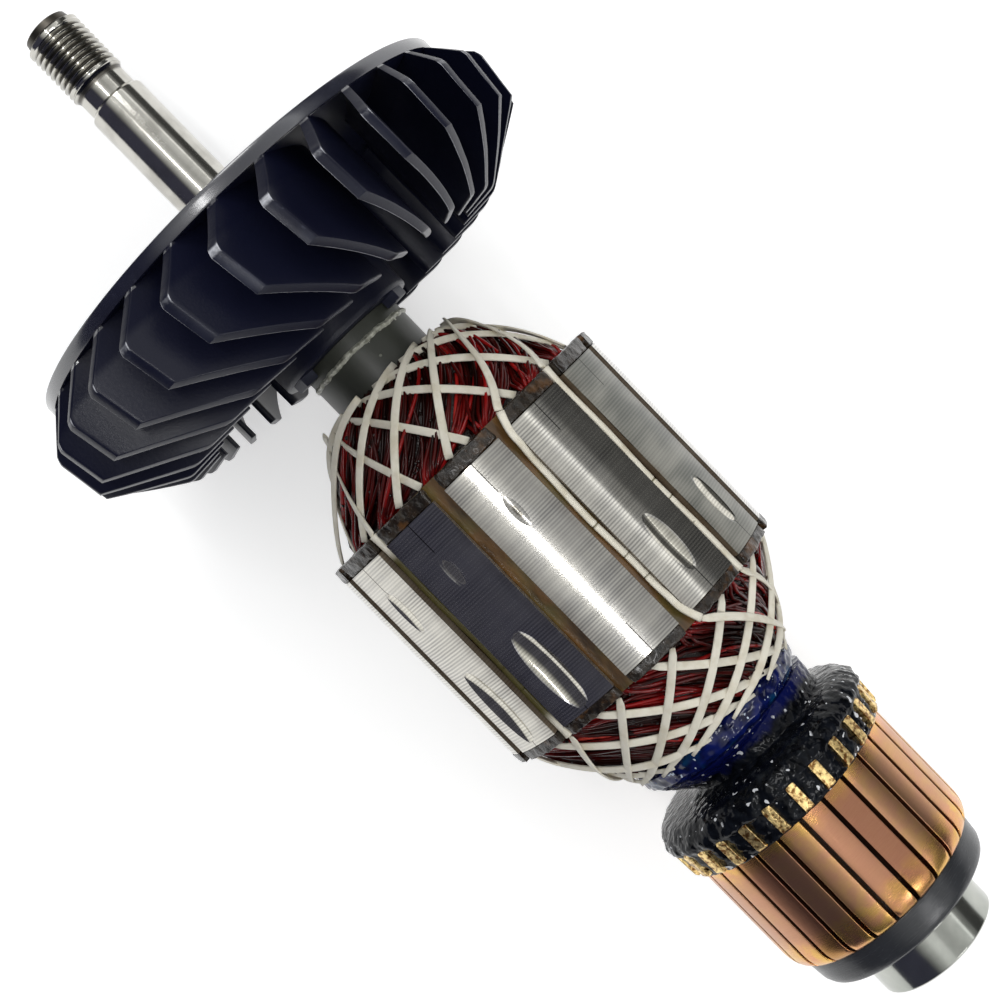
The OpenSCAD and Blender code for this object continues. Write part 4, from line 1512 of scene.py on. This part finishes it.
@dataclass
class Crest:
    """Outer surface of a winding head, as a dome over the shaft.

    It rises from the end plate at base_x, where its radius is r0, in a direction of 1 or -1 along
    X, and ends at radius r1. The smaller bulge is, the blunter the dome. Its slope is measured
    between two points a small gap to either side, and held under the steepest angle.
    """

    base_x: float
    direction: int
    length: float
    r0: float
    r1: float
    bulge: float
    gap: float = 0.05 * MM
    steepest: float = 1.45

    def radius(self, h: Array) -> Array:
        """Radius of the dome at a height above the end plate."""
        return self.r1 + (self.r0 - self.r1) * np.clip(1 - h / self.length, 0, 1) ** self.bulge

    def height(self, r: Array) -> Array:
        """Height above the end plate at which the dome has a radius."""
        return self.length * (1 - np.clip((r - self.r1) / (self.r0 - self.r1), 0, 1) ** (1 / self.bulge))

    def even(self, steps: int, end: float = 1.0) -> tuple[Array, Array]:
        """Heights and radii at even distances along the dome.

        Args:
            steps: How many there are.
            end: Share of the dome that they cover.

        Returns:
            The heights and the radii.
        """
        r = np.linspace(self.r0, self.r1, 400)
        h = self.height(r)
        travelled = np.concatenate([[0], np.cumsum(np.hypot(np.diff(h), np.diff(r)))])
        wanted = np.linspace(0, travelled[-1] * end, steps)
        return np.interp(wanted, travelled, h), np.interp(wanted, travelled, r)

    def point(self, h: Any, r: Any, lift: Any, angle: Any) -> Array:
        """Points at a lift above the dome."""
        h, r, lift, angle = np.broadcast_arrays(h, r, lift, angle)
        fall = self.radius(h - self.gap) - self.radius(h + self.gap)
        slope = np.minimum(np.arctan2(fall, 2 * self.gap), self.steepest)
        x = self.base_x + self.direction * (h + lift * np.sin(slope))
        return polar(x, r + lift * np.cos(slope), angle)


@dataclass
class WindingHead:
    """One winding head: leaning bundles of enamelled wire over a dark varnished core."""

    crest: Crest
    end: str
    seed: int
    wire_d: float = 0.62 * MM
    lean_deg_per_mm: float = 3.7
    cross_deg_per_mm: tuple[float, float] = (-1.6, 2.2)
    furrow: float = 1.3 * MM
    core_depth: float = 0.55 * MM
    core_lump: float = 0.3 * MM
    layers: tuple[int, ...] = (12, 6)
    layer_lift: float = 0.35 * MM
    spread_h: float = 4.2 * MM
    # Half width of the painted highlight across a bundle.
    glow_half: float = 0.24
    drops: int = 480
    drop_lift: float = 0.12 * MM

    def lean(self, h: Any) -> Any:
        """Angle by which the wires have leant over at a height."""
        return math.radians(self.lean_deg_per_mm) * h / MM

    def dip(self, h: Any, turn: Any) -> Any:
        """Depth of the furrows between the bundles."""
        share = np.clip(h / self.crest.length, 0, 1)
        fade = np.sin(math.pi * np.minimum(1, 0.2 + share * 0.8))
        return self.furrow * fade * (1 - np.cos(turn * SLOTS)) / 2

    def core(self) -> Shape:
        """Dark dome under the wires, with an open bore for the sleeve."""
        h, r = (line[:, None] for line in self.crest.even(22))
        turn = circle(156)[None, :]
        angle = math.pi / SLOTS + turn - self.lean(h)
        depth = self.dip(h, turn) + self.core_depth
        flat = self.crest.point(h, r, -depth, angle)
        rough = relief(flat, 1.2 * MM, 2.0 + self.seed)
        points = self.crest.point(h, r, -depth + rough * self.core_lump, angle)
        bore = Stations.radius("shaft_sleeve_drive")
        base_x, top_x = (
            self.crest.base_x + self.crest.direction * height
            for height in (0.0, self.crest.length - 0.5 * MM)
        )
        rows = np.concatenate([polar(base_x, bore, angle[:1]), points, polar(top_x, bore, angle[-1:])])
        shape = Shape()
        shape.grid(rows[:, ::-1] if self.crest.direction > 0 else rows)
        return shape

    def bundle(
        self, slot: int, layer: int, heart: float, shake: np.random.Generator
    ) -> tuple[Array, Array]:
        """The wires of one layer that come out of one slot.

        Args:
            slot: The slot.
            layer: 0 for wires that lie side by side, and 1 for those that cross over them.
            heart: Where across the bundle its painted highlight lies, from -1 to 1.
            shake: Random numbers for the unevenness.

        Returns:
            The wires' centre lines, and the tone of their enamel at each step, with painted highlight.
        """
        h, r = (line[None, :] for line in self.crest.even(17, 0.97))
        pitch = 2 * math.pi / SLOTS
        count = self.layers[layer]
        place = np.linspace(-1, 1, count)[:, None] * (1.0 - 0.25 * layer)
        place = place + shake.uniform(-0.06, 0.06, (count, 1))
        spread = np.clip(0.36 + h / self.spread_h, 0, 1)
        wobble = 0.05 * np.sin(h / MM * 0.7 + shake.uniform(0, 6.3, (count, 1)))
        cross = layer * shake.uniform(*self.cross_deg_per_mm, (count, 1)) * h / MM
        turn = (place * spread + wobble) * pitch / 2 + np.radians(cross)
        lift = shake.uniform(-0.45, 0.05, (count, 1)) * MM + layer * self.layer_lift
        lift = lift - self.dip(h, turn) * (1 - 0.35 * layer) - 0.3 * MM * (h < 0.5 * MM)
        # Painted highlight: wires are lighter near the slots and round one place across each bundle,
        # over a random tone.
        glow = np.exp(-((place - heart) / self.glow_half) ** 2)
        bright = 0.6 * glow * np.clip(h / (3 * MM), 0, 1)
        tone = shake.normal(0.08, 0.14, (count, 1)) + 0.5 * np.exp(-h / (1.8 * MM)) + bright
        angle = (slot + 0.5) * pitch + turn - self.lean(h)
        return self.crest.point(h, r, lift, angle), np.clip(tone, 0, 1)

    def strands(self) -> Shape:
        """The wires, as round tubes that fan out of the slots and lean over the dome."""
        shake = np.random.default_rng(self.seed)
        section = oval(self.wire_d, self.wire_d, 6)
        shape = Shape()
        for slot in range(SLOTS):
            heart = shake.uniform(-0.7, 0.7)
            for layer in range(len(self.layers)):
                paths, tone = self.bundle(slot, layer, heart, shake)
                shape.sweep(paths, section, tone=tone[..., None])
        return shape

    def droplets(self) -> Shape:
        """Small beads of varnish that hang on the wires."""
        shake = np.random.default_rng(self.seed + 50)
        heights, radii = self.crest.even(200, 0.95)
        fall = np.radians([18.0, 50, 90, 130, 162])[:, None]
        turns = circle(8)[None, :]
        around = np.sin(fall) * np.cos(turns), np.sin(fall) * np.sin(turns), np.cos(fall)
        ball = np.stack(np.broadcast_arrays(*around), axis=-1)
        shape = Shape()
        for _ in range(self.drops):
            i = int(shake.integers(0, len(heights)))
            angle = shake.uniform(0, 2 * math.pi)
            turn = angle - math.pi / SLOTS + self.lean(heights[i])
            lift = self.drop_lift - self.dip(heights[i], turn)
            centre = self.crest.point(heights[i], radii[i], lift, angle)
            size = shake.uniform(0.1, 0.36) * MM
            shape.grid(centre + ball[:, ::-1] * size * shake.uniform(0.7, 1.2, 3), caps=True)
        return shape

    def build(self, pieces: Pieces) -> None:
        """Builds the head in place of its CAD node."""
        for kind, shape, finish in (
            ("core", self.core(), DarkVarnish()),
            ("wires", self.strands(), EnamelledWire()),
            ("drops", self.droplets(), DarkVarnish()),
        ):
            pieces.put(shape.build(f"head_{kind}_{self.end}"), finish, f"winding_head_{self.end}")


class Family(Enum):
    """Which way the strands of a lacing turn as they leave the stack."""

    FORWARD = 1
    BACKWARD = -1


@dataclass
class Lacing:
    """Flat cord laced over both heads, and along some of the slots between them.

    The degrees in forward and backward are where each strand leaves the end plate. Each of the
    runs is a slot that carries cord, and the family and number of the strands that it leads to.
    """

    heads: dict[str, Crest]
    turn_r: dict[str, float] = field(
        default_factory=lambda: {"drive": 10.6 * MM, "commutator": 15.2 * MM}
    )
    over: dict[str, Family] = field(
        default_factory=lambda: {"drive": Family.BACKWARD, "commutator": Family.FORWARD}
    )
    width: float = 1.3 * MM
    thickness: float = 0.42 * MM
    under_lift: float = 0.12 * MM
    over_lift: float = 0.62 * MM
    run_r: float = 25.85 * MM
    rim_r: float = 27.15 * MM
    lie_deg: float = 1.3
    buried: int = 2
    corner_slots: tuple[int, ...] = (0,)
    ties_x: tuple[float, ...] = (70.0 * MM, 71.7 * MM, 76.1 * MM, 75.3 * MM, 80.3 * MM)
    forward: tuple[int, ...] = (-54, -30, -5, 19, 43, 72, 101, 131, 160, 189, 218, 248, 277)
    backward: tuple[int, ...] = (-48, -22, 4, 30, 55, 89, 117, 144, 172, 200, 227, 255, 283)
    runs: tuple[tuple[int, Family, int], ...] = (
        (-1, Family.BACKWARD, 0), (0, Family.BACKWARD, 1), (2, Family.FORWARD, 4),
        (4, Family.BACKWARD, 5), (6, Family.BACKWARD, 7), (8, Family.BACKWARD, 9),
        (9, Family.BACKWARD, 10),
    )

    def bases(self, family: Family) -> list[float]:
        """Angles at which the strands of a family leave the end plate."""
        degrees = self.forward if family is Family.FORWARD else self.backward
        return [math.radians(angle) for angle in degrees]

    def slot_angle(self, slot: int) -> float:
        """Angle of a slot's middle."""
        return (slot - 0.5) * 2 * math.pi / SLOTS

    def junction(self, slot: int, base: float) -> float:
        """Angle at which the cord of a slot passes the end plate on its way to a strand's base."""
        middle = self.slot_angle(slot)
        shift = (base - middle) * 0.3 if slot in self.corner_slots else 0.0
        return middle + math.copysign(math.radians(self.lie_deg), base - middle) + shift

    def strand(self, end: str, family: Family, index: int) -> Array:
        """Centre line of one strand, a geodesic of the dome that starts at the end plate.

        Args:
            end: Which head it crosses.
            family: Which way it turns.
            index: Which of the family's strands it is.

        Returns:
            The centre line, as rows of XYZ.
        """
        crest = self.heads[end]
        stop = max(self.turn_r[end], crest.r1) + 0.4 * MM
        r = np.linspace(crest.r0, stop, 60)
        h = crest.height(r)
        ds = np.hypot(np.diff(h), np.diff(r))
        mid = (r[1:] + r[:-1]) / 2
        gain = ds * self.turn_r[end] / (mid * np.sqrt(mid ** 2 - self.turn_r[end] ** 2))
        gain = np.concatenate([[0], np.cumsum(gain)])
        base = self.bases(family)[index]
        lift = (self.over_lift if family is self.over[end] else self.under_lift) + self.thickness / 2
        angle = base + family.value * gain
        slots = [slot for slot, of_family, i in self.runs if of_family is family and i == index]
        if slots:
            fade = np.clip(1 - h / (9 * MM), 0, 1) ** 2
            angle += (self.junction(slots[0], base) - base) * fade
        if end == "commutator":
            tail = np.linspace(0, 1, 8)[1:]
            h = np.concatenate([h, crest.length + 0.9 * MM * tail])
            r = np.concatenate([r, np.full(7, stop)])
            angle = np.concatenate([angle, angle[-1] + family.value * tail * 3.2 * MM / stop])
        points = crest.point(h, r, lift, angle)
        if slots:
            points = self.drape(crest, points, self.rim(slots[0]))
        travelled = np.concatenate([[0], np.cumsum(np.linalg.norm(np.diff(points, axis=0), axis=1))])
        wanted = np.linspace(0, travelled[-1], 26)
        return np.stack([np.interp(wanted, travelled, points[:, k]) for k in range(3)], axis=-1)

    def rim(self, slot: int) -> float:
        """Radius at which the cord of a slot passes the end plate."""
        return self.rim_r if slot in self.corner_slots else self.run_r + 0.1 * MM

    @staticmethod
    def drape(crest: Crest, points: Array, rim_r: float) -> Array:
        """Leads a strand straight from the end plate down onto the dome.

        Args:
            crest: The dome.
            points: The strand where it follows the dome all the way.
            rim_r: Radius at which it leaves the end plate.

        Returns:
            The strand with its first stretch taut.
        """
        h = abs(points[:, 0] - crest.base_x)
        r = np.hypot(points[:, 1], points[:, 2])
        slope = np.min((rim_r - r[2:]) / h[2:])
        taut = np.maximum(r, rim_r - slope * h)
        return points * np.stack([np.ones_like(r), taut / r, taut / r], axis=-1)

    def across(self, section: Array) -> Array:
        """Place of a section's corners across the cord, from about -1 to 1."""
        return section[None, None, :, 0] / self.width * 2

    def net(self, end: str, family: Family) -> Shape:
        """All the strands of one family on one head."""
        paths = np.array([self.strand(end, family, i) for i in range(len(self.bases(family)))])
        section = oval(self.width, self.thickness, 12, 0.55)
        shape = Shape()
        count, steps = paths.shape[:2]
        along = np.linspace(0, 0.02, steps)[None, :, None] + np.arange(count)[:, None, None] * 0.1
        ends = ([0, 0.05, 0.8, 1], [0.6, 1, 1, 0.4]) if end == "commutator" else ([0, 1], [1, 0.9])
        size = np.interp(np.linspace(0, 1, steps), *ends)
        shape.sweep(paths, section, size[None], along=along, across=self.across(section))
        return shape

    def slot_runs(self) -> Shape:
        """Stretches in the slot mouths, each against one tooth, with thin dark ties round them."""
        x0, x1 = self.heads["drive"].base_x, self.heads["commutator"].base_x
        ties = np.array(self.ties_x)
        x = np.sort(np.concatenate([np.linspace(x0, x1, 60), ties - 0.3 * MM, ties, ties + 0.3 * MM]))
        end = np.minimum(x - x0, x1 - x)
        over = np.clip(1 - end / (4 * MM), 0, 1) ** 1.3
        rise = np.clip((9 * MM - end) / (5 * MM), 0, 1)
        rise = rise * rise * (3 - 2 * rise)
        section = oval(self.width * 0.85, self.thickness * 1.9, 12, 0.75)
        along = (x - x0)[None, :, None]
        across = self.across(section)
        size = 1 + 0.18 * over
        shape = Shape()
        for slot, family, index in self.runs:
            base, middle = self.bases(family)[index], self.slot_angle(slot)
            lie = math.copysign(math.radians(self.lie_deg), base - middle)
            middle += lie + 0.006 * np.sin(x / MM * 0.3 + slot)
            joint = self.junction(slot, base)
            tied = np.isin(x, ties[slot % 2::2]) * 1.0
            buried = (slot == self.buried) * np.clip((end - 3 * MM) / (2 * MM), 0, 1)
            soak = np.maximum(tied, buried)[None, :, None]
            r = self.run_r + (self.rim(slot) - self.run_r) * rise
            path = polar(x, r, middle + (joint - middle) * over)
            width = (size - 0.12 * tied)[None]
            shape.sweep(path[None], section, width, along=along, across=across, soak=soak)
        return shape

    def build(self, pieces: Pieces) -> None:
        """Builds the lacing in place of its CAD nodes."""
        for end in self.heads:
            for family in Family:
                layer = "over" if family is self.over[end] else "under"
                node = f"lacing_{end}_{layer}"
                pieces.put(self.net(end, family).build(f"cord_{end}_{layer}"), FlatCord(), node)
        pieces.put(self.slot_runs().build("cord_slot_runs"), FlatCord(), "lacing_slot_runs")


@dataclass
class Neck:
    """Blue binding round the lead wires, and the black resin over them and the hooks."""

    bulk_r: float = 13.0 * MM
    bulk_shift: float = 2.6 * MM
    waist_x: float = 113.4 * MM

    def band(self) -> Shape:
        """The glossy binding."""
        x0, x1 = Stations.span("neck_band")
        share = np.linspace(0, 1, 22)[:, None]
        x = x0 + (x1 - x0) * share
        angle = circle(180)[None, :]
        radii = np.array([15.4, 15.9, 15.6, 14.7, 13.4]) * MM
        r = np.interp(share, [0, 0.25, 0.7, 0.93, 1], radii)
        rough = relief(polar(x, r, angle), 1.5 * MM, 6.0)
        shape = Shape()
        shape.grid(polar(x, r + rough * 0.35 * MM, angle))
        return shape

    def resin(self) -> Shape:
        """The lumpy resin, with an eccentric waist and a swell over the hooks."""
        x0, x1 = Stations.span("riser_resin")
        waist = self.waist_x
        x = np.linspace(x0, x1, 64)[:, None]
        angle = circle(312)[None, :]
        past = np.array([-4.0, -0.5, 0, 0.7, 2, 3.3, 4.2, 5.2, 7.6, 8.8, 9.8]) * MM
        over = np.array([-4.4, -8.4, -8.4, -0.9, 0.9, 1.7, 1.7, 1.1, 0.8, 0.6, 0.2]) * MM
        base = TRACK_R + np.interp(x - waist, past, over) + 0 * angle
        s = self.bulk_shift * np.sin(angle)
        bulk = -s + np.sqrt(self.bulk_r ** 2 - self.bulk_shift ** 2 + s ** 2)
        bulk = np.where(x < waist + 1.0 * MM, bulk, 0)
        r = np.maximum(base, bulk)
        swell = np.clip((x - waist - 2 * MM) / (3 * MM), 0, 1) * np.clip((x1 - x) / (3 * MM), 0, 1)
        ridge = np.cos(BARS * (angle + math.radians(1)))
        rough = relief(polar(x, r, angle), 1.7 * MM, 9.0)
        calm = np.clip((waist + 1.5 * MM - x) / (2 * MM), 0, 1)
        r = r + rough * (0.42 - 0.22 * swell - 0.24 * calm) * MM - swell * ridge * 0.22 * MM
        ends = [polar(end, Stations.radius("shaft_sleeve_drive"), angle) for end in (x0, x1)]
        shape = Shape()
        shape.grid(np.concatenate([ends[0], polar(x, r, angle), ends[1]]))
        return shape

    def build(self, pieces: Pieces) -> None:
        """Builds the binding and the resin in place of their CAD nodes."""
        pieces.put(self.band().build("binding_blue"), BlueBinding(), "neck_band")
        pieces.put(self.resin().build("resin_black"), BlackResin(), "riser_resin")


class Commutator:
    """Copper bars with their hooks on the moulded body."""

    def build(self, pieces: Pieces) -> None:
        """Dresses the commutator's nodes."""
        for bar in range(1, BARS + 1):
            pieces.dress(f"commutator_bar_{bar:02d}", RunInCopper(), 0.12 * MM)
        pieces.dress("commutator_moulding", RingMoulding(), 0.25 * MM)


class Bearing:
    """The ball bearing at the commutator's end."""

    def build(self, pieces: Pieces) -> None:
        """Dresses the bearing's nodes."""
        for node in ("bearing_inner_race", "bearing_outer_race"):
            pieces.dress(node, BearingSteel(), 0.1 * MM)
        pieces.dress("bearing_balls", BearingSteel())
        pieces.dress("bearing_cage", PressedShield())
        pieces.dress("bearing_shields", PressedShield())


def main() -> None:
    """Builds every piece in order."""
    logging.basicConfig(level=logging.INFO, format="%(message)s")
    pieces = Pieces(frame)
    Studio().build()
    Shaft().build(pieces)
    Fan().build(pieces)
    Insulation().build(pieces)
    Core().build(pieces)
    drive_x = Stations.span("winding_head_drive")[1]
    comm_x = Stations.span("winding_head_commutator")[0]
    drive = Crest(drive_x, -1, length=15.8 * MM, r0=23.0 * MM, r1=9.6 * MM, bulge=0.565)
    comm = Crest(comm_x, 1, length=14.9 * MM, r0=24.9 * MM, r1=15.4 * MM, bulge=0.9)
    WindingHead(drive, "drive", seed=11).build(pieces)
    WindingHead(comm, "commutator", seed=23).build(pieces)
    Lacing({"drive": drive, "commutator": comm}).build(pieces)
    Neck().build(pieces)
    Commutator().build(pieces)
    Bearing().build(pieces)
    log.info("all pieces are built")


if __name__ == "__main__":
    main()
